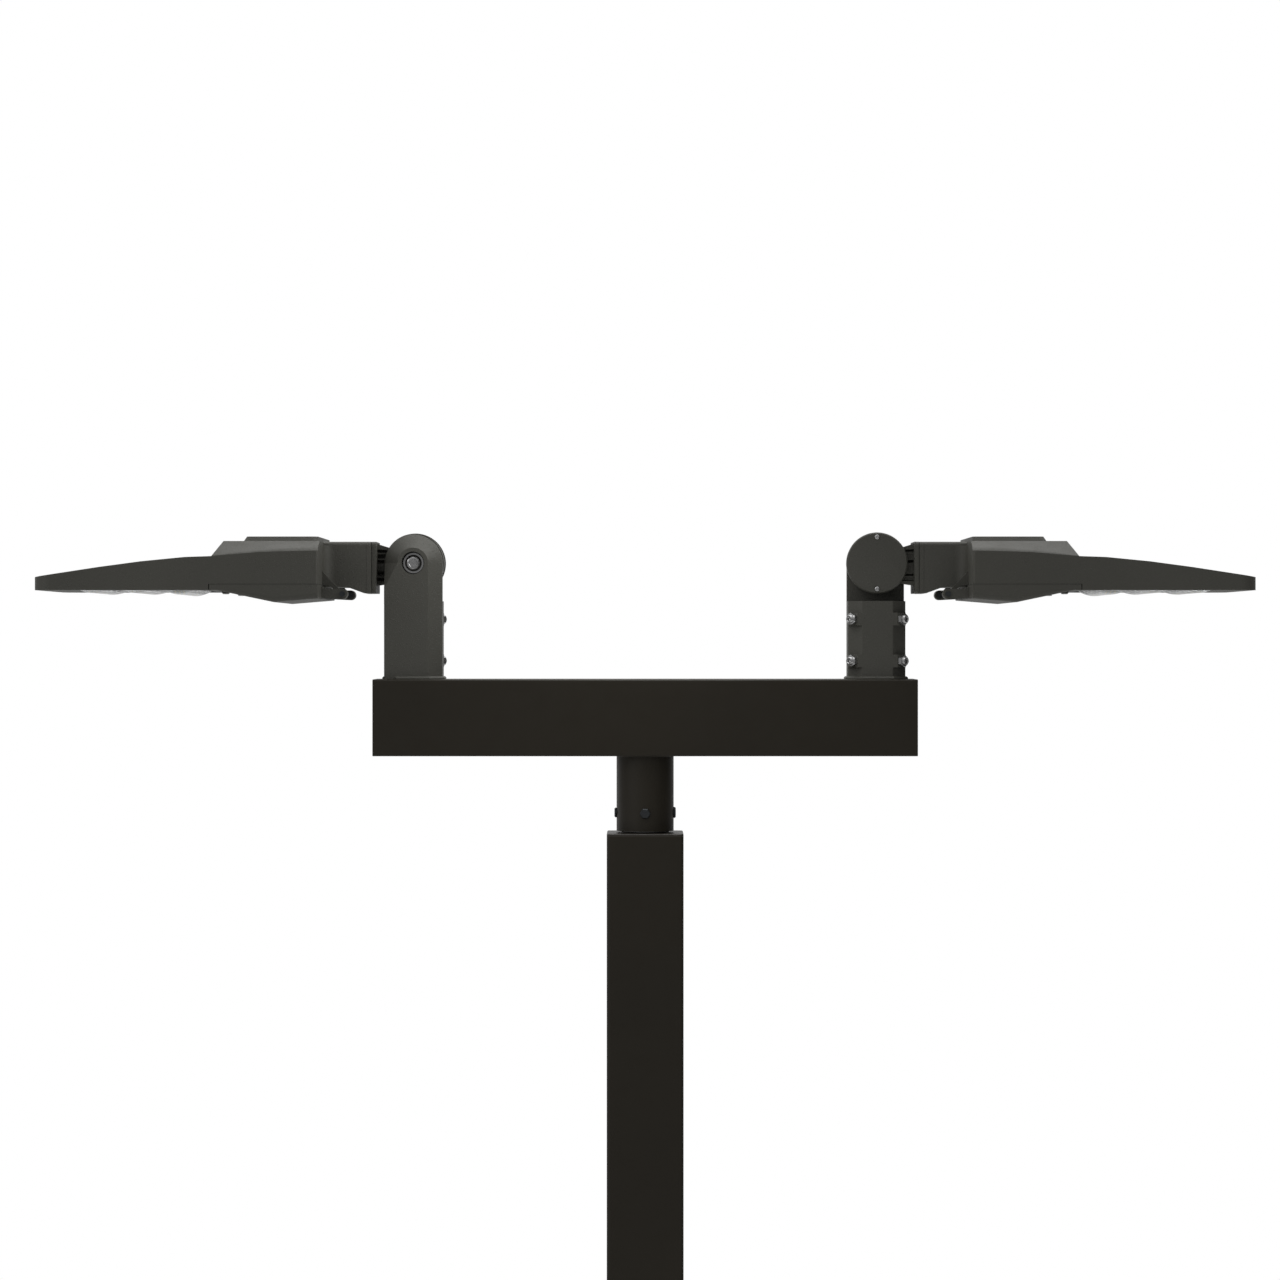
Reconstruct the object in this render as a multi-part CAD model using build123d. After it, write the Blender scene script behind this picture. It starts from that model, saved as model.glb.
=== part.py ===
"""Twin-head area light on a square pole: pole, crossarm bracket, two slipfitters and two LED heads.

Millimetres, +Z up, +X along the crossarm. The origin is the centre of the base plate's underside.
Each head unit is modelled for the right-hand end and placed twice: the left-hand unit is the same one
turned half round. A slipfitter piece has its axis at x = 0 and z = 0 on the crossarm's top. A knuckle or
head piece has z = 0 on the knuckle's axis, so the whole head follows KNUCKLE_Z.
"""

from build123d import *
import math
import os

# ---- pole -----------------------------------------------------------------------------------
POLE_LENGTH = 3048.0
POLE_SIDE = 101.6
POLE_WALL = 3.05
POLE_CORNER_R = 4.8
BASE_PLATE_SIDE = 254.0
BASE_PLATE_T = 19.05
BASE_PLATE_CORNER_R = 12.7
ANCHOR_CIRCLE_D = 215.9
ANCHOR_HOLE_D = 25.4
SHAFT_INSET = 12.7
WELD_LEG = 6.35

HANDHOLE_Z = 457.2
HANDHOLE_W = 63.5
HANDHOLE_H = 127.0
HANDHOLE_R = 19.0
HANDHOLE_RIM = 6.35
HANDHOLE_RIM_DEPTH = 18.0
HANDHOLE_RIM_PROUD = 4.0
HANDHOLE_COVER_LAP = 5.0
HANDHOLE_COVER_T = 2.3
HANDHOLE_BAR_W = 25.4
HANDHOLE_BAR_T = 3.2
HANDHOLE_SCREW_PITCH = 92.0
HANDHOLE_SCREW_D = 6.35
HANDHOLE_SCREW_AF = 11.1
HANDHOLE_SCREW_HEAD_H = 3.81
GROUND_STUD_D = 9.5
GROUND_STUD_LENGTH = 26.0

BASE_COVER_SIDE = 292.0
BASE_COVER_SKIRT = 46.0
BASE_COVER_HEIGHT = 82.0
BASE_COVER_T = 2.0
BASE_COVER_CORNER_R = 18.0
BASE_COVER_LIFT = 1.0
BASE_COVER_SEAM = 0.5
BASE_COVER_LAP = 16.0
BASE_COVER_SCREW_D = 4.8

CAP_T = 3.4
CAP_EDGE = 0.8
TENON_OD = 60.3
TENON_WALL = 3.91
TENON_DROP = 60.0
GUSSET_T = 4.8
GUSSET_GAP = 0.1

# ---- crossarm bracket -----------------------------------------------------------------------
ARM_SIDE = 101.6
ARM_WALL = 3.05
ARM_CORNER_R = 2.4
ARM_TUBE_LENGTH = 711.2
ARM_CAP_T = 4.85
ARM_CAP_EDGE = 0.5
ARM_ABOVE_CAP = 102.9
ARM_WIRE_HOLE_D = 50.0
ARM_TENON_HEIGHT = 95.0
HEAD_SPACING = 615.7
SLEEVE_OD = 76.2
SLEEVE_CLEARANCE = 1.6
SLEEVE_GAP = 2.5
SLEEVE_BOLT_ABOVE_CAP = 26.5
SLEEVE_BOLT_D = 9.5
SLEEVE_BOLT_HEAD_AF = 12.7
SLEEVE_BOLT_HEAD_H = 2.8

# ---- slipfitter -----------------------------------------------------------------------------
FITTER_SIDE = 76.2
FITTER_CHAMFER = 18.0
FITTER_EDGE = 1.5
EAR_RUNOUT = 34.0
FITTER_CLEARANCE = 0.85
FITTER_BORE_DEPTH = 97.0
FITTER_TOP = 103.8
FITTER_FLANGE_LIP = 3.4
FITTER_FLANGE_T = 3.8
FITTER_WIRE_HOLE_D = 14.0
FITTER_WIRE_HOLE_Y = -6.0
BOSS_CHAMFER = 11.6
BOSS_HEIGHT = 17.0
BOSS_ROWS = (24.3, 79.9)
SET_SCREW_D = 9.5
SET_SCREW_END_D = 10.9
SET_SCREW_PROUD = 8.6
SET_SCREW_END_EDGE = 0.7
JAM_NUT_AF = 14.3
JAM_NUT_T = 5.4

# ---- knuckle --------------------------------------------------------------------------------
KNUCKLE_Z = 154.3
KNUCKLE_FACE_Y = 6.0
KNUCKLE_GAP = 0.3
TOOTH_COUNT = 36
TOOTH_H = 1.2
TOOTH_R_IN = 15.0
TOOTH_R_OUT = 31.0
TOOTH_FILL = 0.8
TOOTH_FLANK = 0.8
TOOTH_FALL = 0.9
BOLT_D = 12.7
BOLT_FIT = 0.05
BOLT_HEAD_AF = 14.6
BOLT_HEAD_H = 7.0
BOLT_HEAD_EDGE = 0.8
BOLT_FLANGE_D = 22.0
BOLT_FLANGE_T = 2.6
BOLT_LENGTH = 38.0
WASHER_D = 27.0
WASHER_T = 2.2
COUNTERBORE_D = 30.0
COUNTERBORE_DEPTH = 17.0
DRUM_R = 39.4
DRUM_OUTER_Y = -23.5
DRUM_WALL = 5.5
DRUM_FLOOR = 7.0
DRUM_BOSS_R = 12.0
DRUM_BOSS_DROP = 2.0
COVER_R = 40.6
COVER_T = 5.0
COVER_BEVEL = 1.6
GASKET_T = 1.5
COVER_SCREW_D = 4.0
COVER_SCREW_HEAD_D = 6.2
COVER_SCREW_HEAD_H = 1.8
COVER_SCREW_R = 34.5
COVER_SCREW_LENGTH = 14.0
COVER_SCREW_SINK = 1.0
COVER_SCREW_RING = 0.8

# ---- knuckle arm ----------------------------------------------------------------------------
NECK_BOTTOM = -27.5
NECK_TOP_DRUM = 20.5
NECK_TOP_FLANGE = 25.8
NECK_PLATE = 3.6
NECK_RIBS = (-18.1, 5.4, 13.1)
NECK_RIB_T = 2.2
NECK_RIB_INSET = 2.0
NECK_WEB_T = 5.0
NECK_ROOT = 6.0
NECK_PANELS = ((-22.8, -17.8), (-14.4, 0.4), (3.8, 15.4))
NECK_PANEL_INSET = 3.0
DUCT_BORE_R = 6.5
DUCT_R = 9.5
DUCT_DROP = 5.0
FLANGE_U = 49.0
FLANGE_T = 5.6
FLANGE_Y = (-43.0, 36.0)
FLANGE_BOTTOM = -40.3
FLANGE_TOP = 28.1
ARM_GASKET_T = 0.6
ARM_GASKET_INSET = 0.5
ARM_GASKET_BAND = 14.0
ARM_BOLT_D = 6.0
ARM_BOLT_AF = 10.0
ARM_BOLT_HEAD_H = 3.3
ARM_BOLT_INSET = 12.0
ARM_BOLT_PITCH_Z = 28.0

# ---- head -----------------------------------------------------------------------------------
HEAD_WIDTH = 280.0
HEAD_REAR = 117.7
HEAD_TIP = 487.4
HEAD_BOTTOM = -37.3
HEAD_WALL = 3.5
TIP_TOP = -20.5
CREST = ((402.0, -7.4), (347.0, 0.0), (292.0, 5.4))
STEP_U = 289.0
STEP_RISE = 0.2
STEP_RUN = 2.0
STEP_DROP = 1.0
SHOULDER_FRONT = 6.7
SHOULDER_MID_U = 190.0
SHOULDER_MID = 12.3
SHOULDER_REAR = 14.1
SHOULDER_SOFT = (24.0, 12.0, 3.0)
TIP_CORNER_R = 22.0
REAR_CORNER_R = 3.0
HUMP_FOOT = 256.0
HUMP_FRONT_RUN = 13.0
HUMP_TOP = 27.3
HUMP_SIDE_RUN = 34.0
HUMP_RIDGE_R = 8.0
PLATEAU_FRONT = 219.0
PLATEAU_TOP = 33.3
PLATEAU_RUN = 5.0
PLATEAU_MARGIN = 4.0
PLATEAU_ROOT = 2.0
PLATEAU_CORNER_R = 7.0
PARTITION_T = 8.0
BAY_LEDGE = 6.0
BAY_MOUTH = 2.0
SEAM_Z = -29.9
SEAM_GAP = 0.5
FIN_DEPTH = 8.0
FIN_T = 3.2
FIN_COUNT = 14
FIN_MARGIN = 22.0
FIN_SET_BACK = 0.8
FIN_U = (282.0, 452.0)

BLOCK_Y = 45.0
BLOCK_TOP = 27.9
BLOCK_WALL = 5.0
BLOCK_SIDE_WALL = 8.0
BLOCK_EDGE_R = 5.0
BLOCK_FLARE = 15.0
FLARE_LIFT = 6.0
BLOCK_KNEE_U = 64.0
BLOCK_RISE_U = 86.0
BLOCK_RISE_Z = -32.3
BLOCK_SEAM_U = 61.0
BLOCK_SEAM = 0.5

# ---- light engine ---------------------------------------------------------------------------
BAY_U = (264.0, 444.0)
BAY_MARGIN = 22.0
BAY_TOP = -27.8
BOARD_T = 1.6
BOARD_GAP = 0.5
LED_SIDE = 14.0
LED_T = 1.2
LENS_T = 2.8
LENS_Z = -35.3
FRAME_RIM = 6.0
FRAME_GAP = 0.3
DOME_GAP = 1.0
DOME_DROP = 3.4
DOME_PITCH_U = 56.5
DOME_ROWS = 5
DOME_COLUMNS = 3
DOME_TIP_MARGIN = 29.0
END_DOME_DROP = 5.3

# ---- driver bay and door --------------------------------------------------------------------
DOOR_FRONT = 258.2
DOOR_FLAT = 250.0
DOOR_BELLY_U = 175.0
DOOR_BELLY_Z = -53.0
DOOR_REAR_Z = -48.3
DOOR_GAP = 1.0
DOOR_EDGE_R = 7.0
DOOR_WALL = 3.0
DOOR_GASKET_INSET = 0.6
DOOR_GASKET_W = 6.0
HINGE_U = 90.0
HINGE_Z = -41.7
HINGE_R = 6.6
HINGE_PIN_D = 5.0
HINGE_FIT = 0.06
LUG_Y = (58.0, 66.0)
DOOR_ARM_Y = (66.6, 80.0)
LUG_TOP = -10.3
LUG_HEEL = 9.0
DOOR_ARM_HEEL = 6.0
HINGE_PIN_END = 1.0
HINGE_HEAD_T = 1.8
DOOR_SCREW_U = 241.0
DOOR_SCREW_INSET = 44.0
DOOR_SCREW_D = 5.0
DOOR_SCREW_HEAD_D = 9.0
DOOR_SCREW_HEAD_H = 1.9
DOOR_PAD_R = 5.5
DOOR_PAD_PROUD = 0.3
DOOR_SCREW_HOLE_D = 7.4
DOOR_SCREW_BITE = 9.0
DOOR_SCREW_DEPTH = 16.0
DOOR_SCREW_BOSS_H = 22.0
DRIVER_SIZE = (60.0, 200.0, 34.0)
DRIVER_STANDOFF = 14.0
SURGE_SIZE = (30.0, 52.0, 24.0)
SURGE_Y = 55.0
SURGE_DROP = 8.0
DEVICE_CORNER_R = 2.5
DEVICE_GAP = 0.5

# ---- shared clearances ----------------------------------------------------------------------
THREAD_GAP = 0.05
FACE_GAP = 0.2
TIP_GAP = 0.4

# ---- places worked out from the sizes -------------------------------------------------------
cap_top = POLE_LENGTH + CAP_T
arm_bottom = cap_top + ARM_ABOVE_CAP
arm_top = arm_bottom + ARM_SIDE
half_head = HEAD_WIDTH / 2
tenon_r = TENON_OD / 2
sleeve_bore_r = tenon_r + SLEEVE_CLEARANCE
fitter_bore_r = tenon_r + FITTER_CLEARANCE
block_u = FLANGE_U + FLANGE_T + ARM_GASKET_T
ear_y = FITTER_SIDE / 2
cover_back_y = DRUM_OUTER_Y - GASKET_T
duct_y = (DRUM_OUTER_Y + KNUCKLE_FACE_Y - KNUCKLE_GAP - TOOTH_H) / 2
shoulder_line = ((HEAD_REAR, SHOULDER_REAR), (SHOULDER_MID_U, SHOULDER_MID), (HUMP_FOOT, SHOULDER_FRONT))
crest_line = (*reversed(CREST), (HEAD_TIP, TIP_TOP))
bay_y = half_head - BAY_MARGIN
bay_front = HUMP_FOOT - PARTITION_T
dome_pitch_y = 2 * (bay_y - FRAME_RIM) / DOME_ROWS
dome_r = (min(DOME_PITCH_U, dome_pitch_y) - DOME_GAP) / 2
driver_u = HEAD_REAR + DRIVER_STANDOFF
device_roof = HUMP_TOP - HEAD_WALL - DEVICE_GAP
far_above = PLATEAU_TOP + HEAD_WIDTH
far_below = DOOR_BELLY_Z - HEAD_WIDTH


# ---- small helpers --------------------------------------------------------------------------
def block(x0, x1, y0, y1, z0, z1):
    """A box between two corners."""
    centre = Pos((x0 + x1) / 2, (y0 + y1) / 2, (z0 + z1) / 2)
    return centre * Box(abs(x1 - x0), abs(y1 - y0), abs(z1 - z0))


def rod(start, direction, radius, length):
    """A cylinder that starts at a point and runs along a direction."""
    plane = Plane(origin=start, z_dir=direction)
    return plane * Pos(0, 0, length / 2) * Cylinder(radius, length)


def hex_rod(start, direction, across_flats, length, turn=0.0):
    """A hexagonal bar that starts at a point and runs along a direction."""
    plane = Plane(origin=start, z_dir=direction)
    outline = Rot(0, 0, turn) * RegularPolygon(across_flats / 2, 6, major_radius=False)
    return plane * extrude(outline, length)


def pipe(start, direction, outer_r, inner_r, length):
    """A straight tube."""
    return rod(start, direction, outer_r, length) - rod(start, direction, inner_r, length)


def square_prism(side, corner_r, z0, z1, side_y=None):
    """An upright prism with a rounded square or rectangular section."""
    outline = RectangleRounded(side, side_y or side, corner_r)
    return Pos(0, 0, z0) * extrude(outline, z1 - z0)


def side_prism(points, y0, y1):
    """A prism across the head or slipfitter, from an outline in the XZ plane."""
    outline = make_face(Polyline(*points, close=True))
    return extrude(Plane.XZ.offset(-y0) * outline, amount=-(y1 - y0))


def octagon_prism(side, corner_cut, z0, z1):
    """A square prism whose four upright edges are cut flat."""
    outline = Rectangle(side, side)
    outline = chamfer(outline.vertices(), corner_cut)
    return Pos(0, 0, z0) * extrude(outline, z1 - z0)


def save(name, *shapes):
    """Write every solid of the shapes as one node."""
    solids = [solid for shape in shapes for solid in shape.solids()]
    export_step(solids[0] if len(solids) == 1 else Compound(solids), f"parts/{name}.step")


def at_end(shape, side, height):
    """Put a right-hand unit's piece over its end of the crossarm: side +1 right, -1 left."""
    turned = Rot(0, 0, 0 if side > 0 else 180) * shape
    return Pos(side * HEAD_SPACING / 2, 0, arm_top + height) * turned


# ---- pole -----------------------------------------------------------------------------------
def base_plate():
    plate = square_prism(BASE_PLATE_SIDE, BASE_PLATE_CORNER_R, 0, BASE_PLATE_T)
    plate -= square_prism(POLE_SIDE, POLE_CORNER_R, 0, BASE_PLATE_T)
    for turn in (45, 135, 225, 315):
        x = ANCHOR_CIRCLE_D / 2 * math.cos(math.radians(turn))
        y = ANCHOR_CIRCLE_D / 2 * math.sin(math.radians(turn))
        plate -= rod((x, y, 0), (0, 0, 1), ANCHOR_HOLE_D / 2, BASE_PLATE_T)
    return plate


def pole_shaft():
    foot = BASE_PLATE_T - SHAFT_INSET
    shaft = square_prism(POLE_SIDE, POLE_CORNER_R, foot, POLE_LENGTH)
    bead = RectangleRounded(POLE_SIDE + 2 * WELD_LEG, POLE_SIDE + 2 * WELD_LEG, POLE_CORNER_R + WELD_LEG)
    shaft += Pos(0, 0, BASE_PLATE_T) * extrude(bead, WELD_LEG, taper=44)
    inner = POLE_SIDE - 2 * POLE_WALL
    shaft -= square_prism(inner, max(POLE_CORNER_R - POLE_WALL, 0.5), foot, POLE_LENGTH)
    shaft -= handhole_outline(HANDHOLE_RIM, POLE_SIDE / 2 - HANDHOLE_RIM_DEPTH, POLE_SIDE)
    return shaft


def handhole_outline(margin, y0, y1):
    """The hand hole's rounded outline, grown by a margin, run from y0 to y1."""
    outline = RectangleRounded(HANDHOLE_W + 2 * margin, HANDHOLE_H + 2 * margin, HANDHOLE_R + margin)
    return extrude(Pos(0, y0, HANDHOLE_Z) * (Plane.XZ * outline), amount=-(y1 - y0))


def handhole_rim_y():
    """Inner and outer faces of the hand hole's rim."""
    outer = POLE_SIDE / 2 + HANDHOLE_RIM_PROUD
    return outer - HANDHOLE_RIM_DEPTH, outer


def handhole_rim():
    inner, outer = handhole_rim_y()
    return handhole_outline(HANDHOLE_RIM, inner, outer) - handhole_outline(0, inner, outer)


def handhole_screw_places():
    return [HANDHOLE_Z - HANDHOLE_SCREW_PITCH / 2, HANDHOLE_Z + HANDHOLE_SCREW_PITCH / 2]


def handhole_cover():
    outer = handhole_rim_y()[1]
    cover = handhole_outline(HANDHOLE_RIM + HANDHOLE_COVER_LAP, outer, outer + HANDHOLE_COVER_T)
    front = cover.faces().sort_by(Axis.Y)[-1]
    cover = chamfer(front.edges(), HANDHOLE_COVER_T * 0.4)
    for z in handhole_screw_places():
        cover -= rod((0, outer, z), (0, 1, 0), HANDHOLE_SCREW_D / 2 + THREAD_GAP, HANDHOLE_COVER_T)
    return cover


def handhole_bar():
    inner = handhole_rim_y()[0]
    back = inner - HANDHOLE_BAR_T
    half = HANDHOLE_BAR_W / 2
    reach = (HANDHOLE_H + HANDHOLE_RIM) / 2
    bar = block(-half, half, back, inner, HANDHOLE_Z - reach, HANDHOLE_Z + reach)
    for z in handhole_screw_places():
        bar -= rod((0, back, z), (0, 1, 0), HANDHOLE_SCREW_D / 2 + THREAD_GAP, HANDHOLE_BAR_T)
    return bar


def handhole_screws():
    inner, outer = handhole_rim_y()
    tip = inner - 2 * HANDHOLE_BAR_T
    seat = outer + HANDHOLE_COVER_T
    screws = []
    for z in handhole_screw_places():
        shank = rod((0, tip, z), (0, 1, 0), HANDHOLE_SCREW_D / 2, seat - tip)
        screws.append(shank + hex_rod((0, seat, z), (0, 1, 0), HANDHOLE_SCREW_AF, HANDHOLE_SCREW_HEAD_H))
    return screws


def ground_stud():
    wall = -(POLE_SIDE / 2 - POLE_WALL)
    stud = rod((0, wall, HANDHOLE_Z), (0, 1, 0), GROUND_STUD_D / 2, GROUND_STUD_LENGTH)
    nut_y = wall + GROUND_STUD_LENGTH / 2
    nut = hex_rod((0, nut_y, HANDHOLE_Z), (0, 1, 0), GROUND_STUD_D * 1.6, GROUND_STUD_D * 0.8)
    nut -= rod((0, nut_y, HANDHOLE_Z), (0, 1, 0), GROUND_STUD_D / 2 + THREAD_GAP, GROUND_STUD_D)
    return [stud, nut]


def base_cover_skin(inset):
    """The base cover's outside, shrunk by an inset, as a solid."""
    side = BASE_COVER_SIDE - 2 * inset
    collar = POLE_SIDE + 2 * FACE_GAP + 2 * (BASE_COVER_T - inset)
    corner = BASE_COVER_CORNER_R - inset
    skirt = square_prism(side, corner, BASE_COVER_LIFT, BASE_COVER_SKIRT - inset)
    foot_face = Pos(0, 0, BASE_COVER_SKIRT - inset) * RectangleRounded(side, side, corner)
    top_face = Pos(0, 0, BASE_COVER_HEIGHT) * RectangleRounded(collar, collar, POLE_CORNER_R + FACE_GAP)
    return skirt + loft([foot_face, top_face])


def base_cover_half(side):
    """One half of the two-piece base cover; the left half carries the lap strips of both seams."""
    hollow = base_cover_skin(BASE_COVER_T)
    hollow += square_prism(BASE_COVER_SIDE - 2 * BASE_COVER_T, BASE_COVER_CORNER_R - BASE_COVER_T, 0,
                           BASE_COVER_LIFT + BASE_COVER_T)
    shell = base_cover_skin(0) - hollow
    reach = BASE_COVER_SIDE
    half = shell & block(side * BASE_COVER_SEAM / 2, side * reach, -reach, reach, 0, reach)
    skirt_y = BASE_COVER_SIDE / 2 - BASE_COVER_T
    low = BASE_COVER_LIFT + BASE_COVER_LAP / 2
    high = BASE_COVER_SKIRT - 2 * BASE_COVER_T
    for face in (-1, 1):
        if side < 0:
            inside = face * (skirt_y - BASE_COVER_T)
            half += block(-BASE_COVER_LAP, BASE_COVER_LAP, face * skirt_y, inside, low, high)
        start = (BASE_COVER_LAP / 2, face * (skirt_y - 3 * BASE_COVER_T), base_cover_screw_z())
        half -= rod(start, (0, face, 0), BASE_COVER_SCREW_D / 2 + THREAD_GAP, 6 * BASE_COVER_T)
    return half


def base_cover_screw_z():
    return BASE_COVER_LIFT + BASE_COVER_SKIRT / 2


def base_cover_screws():
    screws = []
    face_y = BASE_COVER_SIDE / 2
    for face in (-1, 1):
        start = (BASE_COVER_LAP / 2, face * (face_y - 3 * BASE_COVER_T), base_cover_screw_z())
        shank = rod(start, (0, face, 0), BASE_COVER_SCREW_D / 2, 3 * BASE_COVER_T)
        head_start = (BASE_COVER_LAP / 2, face * face_y, base_cover_screw_z())
        screws.append(shank + rod(head_start, (0, face, 0), BASE_COVER_SCREW_D, BASE_COVER_T))
    return screws


def pole_cap():
    cap = square_prism(POLE_SIDE, POLE_CORNER_R, POLE_LENGTH, cap_top)
    cap = chamfer(cap.faces().sort_by(Axis.Z)[-1].edges(), CAP_EDGE)
    return cap - rod((0, 0, POLE_LENGTH), (0, 0, 1), tenon_r, CAP_T)


def pole_tenon():
    length = TENON_DROP + ARM_ABOVE_CAP - FACE_GAP
    return pipe((0, 0, cap_top - TENON_DROP), (0, 0, 1), tenon_r, tenon_r - TENON_WALL, length)


def tenon_gusset():
    inner = POLE_SIDE - 2 * POLE_WALL - 2 * GUSSET_GAP
    low = cap_top - TENON_DROP
    plate = square_prism(inner, POLE_CORNER_R, low, low + GUSSET_T)
    return plate - rod((0, 0, low), (0, 0, 1), tenon_r, GUSSET_T)


# ---- crossarm bracket -----------------------------------------------------------------------
def crossarm_tube():
    outer = RectangleRounded(ARM_SIDE, ARM_SIDE, ARM_CORNER_R)
    inner_side = ARM_SIDE - 2 * ARM_WALL
    inner = Rectangle(inner_side, inner_side)
    start = Plane(origin=(-ARM_TUBE_LENGTH / 2, 0, arm_bottom + ARM_SIDE / 2), z_dir=(1, 0, 0))
    tube = start * extrude(outer - inner, ARM_TUBE_LENGTH)
    tube -= rod((0, 0, arm_bottom), (0, 0, 1), ARM_WIRE_HOLE_D / 2, ARM_WALL)
    for side in (-1, 1):
        tube -= rod((side * HEAD_SPACING / 2, 0, arm_top - ARM_WALL), (0, 0, 1), tenon_r, ARM_WALL)
    return tube


def crossarm_end_caps():
    caps = []
    for side in (-1, 1):
        face = Plane(origin=(side * ARM_TUBE_LENGTH / 2, 0, arm_bottom + ARM_SIDE / 2), z_dir=(side, 0, 0))
        plate = face * extrude(RectangleRounded(ARM_SIDE, ARM_SIDE, ARM_CORNER_R), ARM_CAP_T)
        outside = plate.faces().sort_by(Axis.X)[-1 if side > 0 else 0]
        caps.append(chamfer(outside.edges(), ARM_CAP_EDGE))
    return caps


def sleeve_bolt_z():
    return cap_top + SLEEVE_BOLT_ABOVE_CAP


def quarter_turns():
    return [(math.cos(math.radians(a)), math.sin(math.radians(a)), 0) for a in (0, 90, 180, 270)]


def bracket_sleeve():
    low = cap_top + SLEEVE_GAP
    sleeve = pipe((0, 0, low), (0, 0, 1), SLEEVE_OD / 2, sleeve_bore_r, arm_bottom - low)
    for out in quarter_turns():
        sleeve -= rod((0, 0, sleeve_bolt_z()), out, SLEEVE_BOLT_D / 2 + THREAD_GAP, SLEEVE_OD)
    return sleeve


def bracket_bolts():
    bolts = []
    tip = tenon_r + TIP_GAP
    seat = SLEEVE_OD / 2
    z = sleeve_bolt_z()
    for x, y, _ in quarter_turns():
        shank = rod((x * tip, y * tip, z), (x, y, 0), SLEEVE_BOLT_D / 2, seat - tip)
        head = hex_rod((x * seat, y * seat, z), (x, y, 0), SLEEVE_BOLT_HEAD_AF, SLEEVE_BOLT_HEAD_H)
        outside = head.faces().sort_by(Axis((0, 0, 0), (x, y, 0)))[-1]
        bolts.append(shank + chamfer(outside.edges(), SLEEVE_BOLT_HEAD_H * 0.4))
    return bolts


def crossarm_tenons():
    low = arm_top - ARM_WALL
    return [pipe((side * HEAD_SPACING / 2, 0, low), (0, 0, 1), tenon_r, tenon_r - TENON_WALL,
                 ARM_WALL + ARM_TENON_HEIGHT) for side in (-1, 1)]


# ---- slipfitter -----------------------------------------------------------------------------
def screw_directions():
    """Height and outward direction of each slipfitter set screw."""
    along = math.sqrt(0.5)
    return [(z, (sx * along, -along, 0)) for z in BOSS_ROWS for sx in (-1, 1)]


def boss_face():
    """Distance of the screw bosses' faces from the slipfitter's axis."""
    return (FITTER_SIDE - BOSS_CHAMFER) / math.sqrt(2)


def tooth_ring(face_y, height, centre_z):
    """Radial teeth round the knuckle axis, standing from a face towards +Y or, if negative, -Y."""
    half = math.pi * TOOTH_R_IN / TOOTH_COUNT * TOOTH_FILL
    flank = half * TOOTH_FLANK
    ridge = side_prism([(TOOTH_R_IN, -half), (TOOTH_R_OUT, -half), (TOOTH_R_OUT, half), (TOOTH_R_IN, half)],
                       face_y, face_y + height)
    top = ridge.faces().sort_by(Axis.Y)[-1 if height > 0 else 0]
    long_edges = top.edges().filter_by(Axis.X)
    ridge = chamfer(long_edges, length=flank, length2=abs(height) * TOOTH_FALL, reference=top)
    step = 360 / TOOTH_COUNT
    return [Pos(0, 0, centre_z) * Rot(0, step * index, 0) * ridge for index in range(TOOTH_COUNT)]


def slipfitter():
    body = fitter_body()
    body += ear()
    body += fitter_flange()
    for z in BOSS_ROWS:
        boss = octagon_prism(FITTER_SIDE, BOSS_CHAMFER, z - BOSS_HEIGHT / 2, z + BOSS_HEIGHT / 2)
        body += boss & block(-FITTER_SIDE, FITTER_SIDE, -FITTER_SIDE, 0, 0, FITTER_TOP)
    body -= rod((0, 0, 0), (0, 0, 1), fitter_bore_r, FITTER_BORE_DEPTH)
    body -= rod((0, FITTER_WIRE_HOLE_Y, 0), (0, 0, 1), FITTER_WIRE_HOLE_D / 2, FITTER_TOP)
    for z, direction in screw_directions():
        body -= rod((0, 0, z), direction, SET_SCREW_D / 2 + THREAD_GAP, FITTER_SIDE)
    seat = ear_y - COUNTERBORE_DEPTH
    body -= rod((0, seat, KNUCKLE_Z), (0, 1, 0), COUNTERBORE_D / 2, COUNTERBORE_DEPTH)
    body -= rod((0, 0, KNUCKLE_Z), (0, 1, 0), BOLT_D / 2 + THREAD_GAP, FITTER_SIDE)
    return body


def fitter_body():
    """The square column, with broad flats on all its edges but the one under the ear on the head's side."""
    outline = Rectangle(FITTER_SIDE, FITTER_SIDE)
    *broad, narrow = outline.vertices().sort_by(Axis((0, 0, 0), (1, 1, 0)))
    outline = chamfer(broad, FITTER_CHAMFER)
    narrow = outline.vertices().sort_by(Axis((0, 0, 0), (1, 1, 0)))[-1]
    return extrude(chamfer(narrow, FITTER_EDGE), FITTER_TOP)


def ear():
    """The upright cheek that holds the knuckle bolt, with its broad bevel."""
    half = FITTER_SIDE / 2
    low = FITTER_TOP - FITTER_FLANGE_T
    outline = Pos(0, (KNUCKLE_Z + low) / 2) * Rectangle(FITTER_SIDE, KNUCKLE_Z - low)
    outline += Pos(0, KNUCKLE_Z) * Circle(half)
    inner = KNUCKLE_FACE_Y + TOOTH_H
    cheek = extrude(Plane.XZ.offset(-inner) * outline, amount=-(ear_y - inner))
    return cheek - ear_bevel() + tooth_ring(inner, -TOOTH_H, KNUCKLE_Z)


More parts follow.
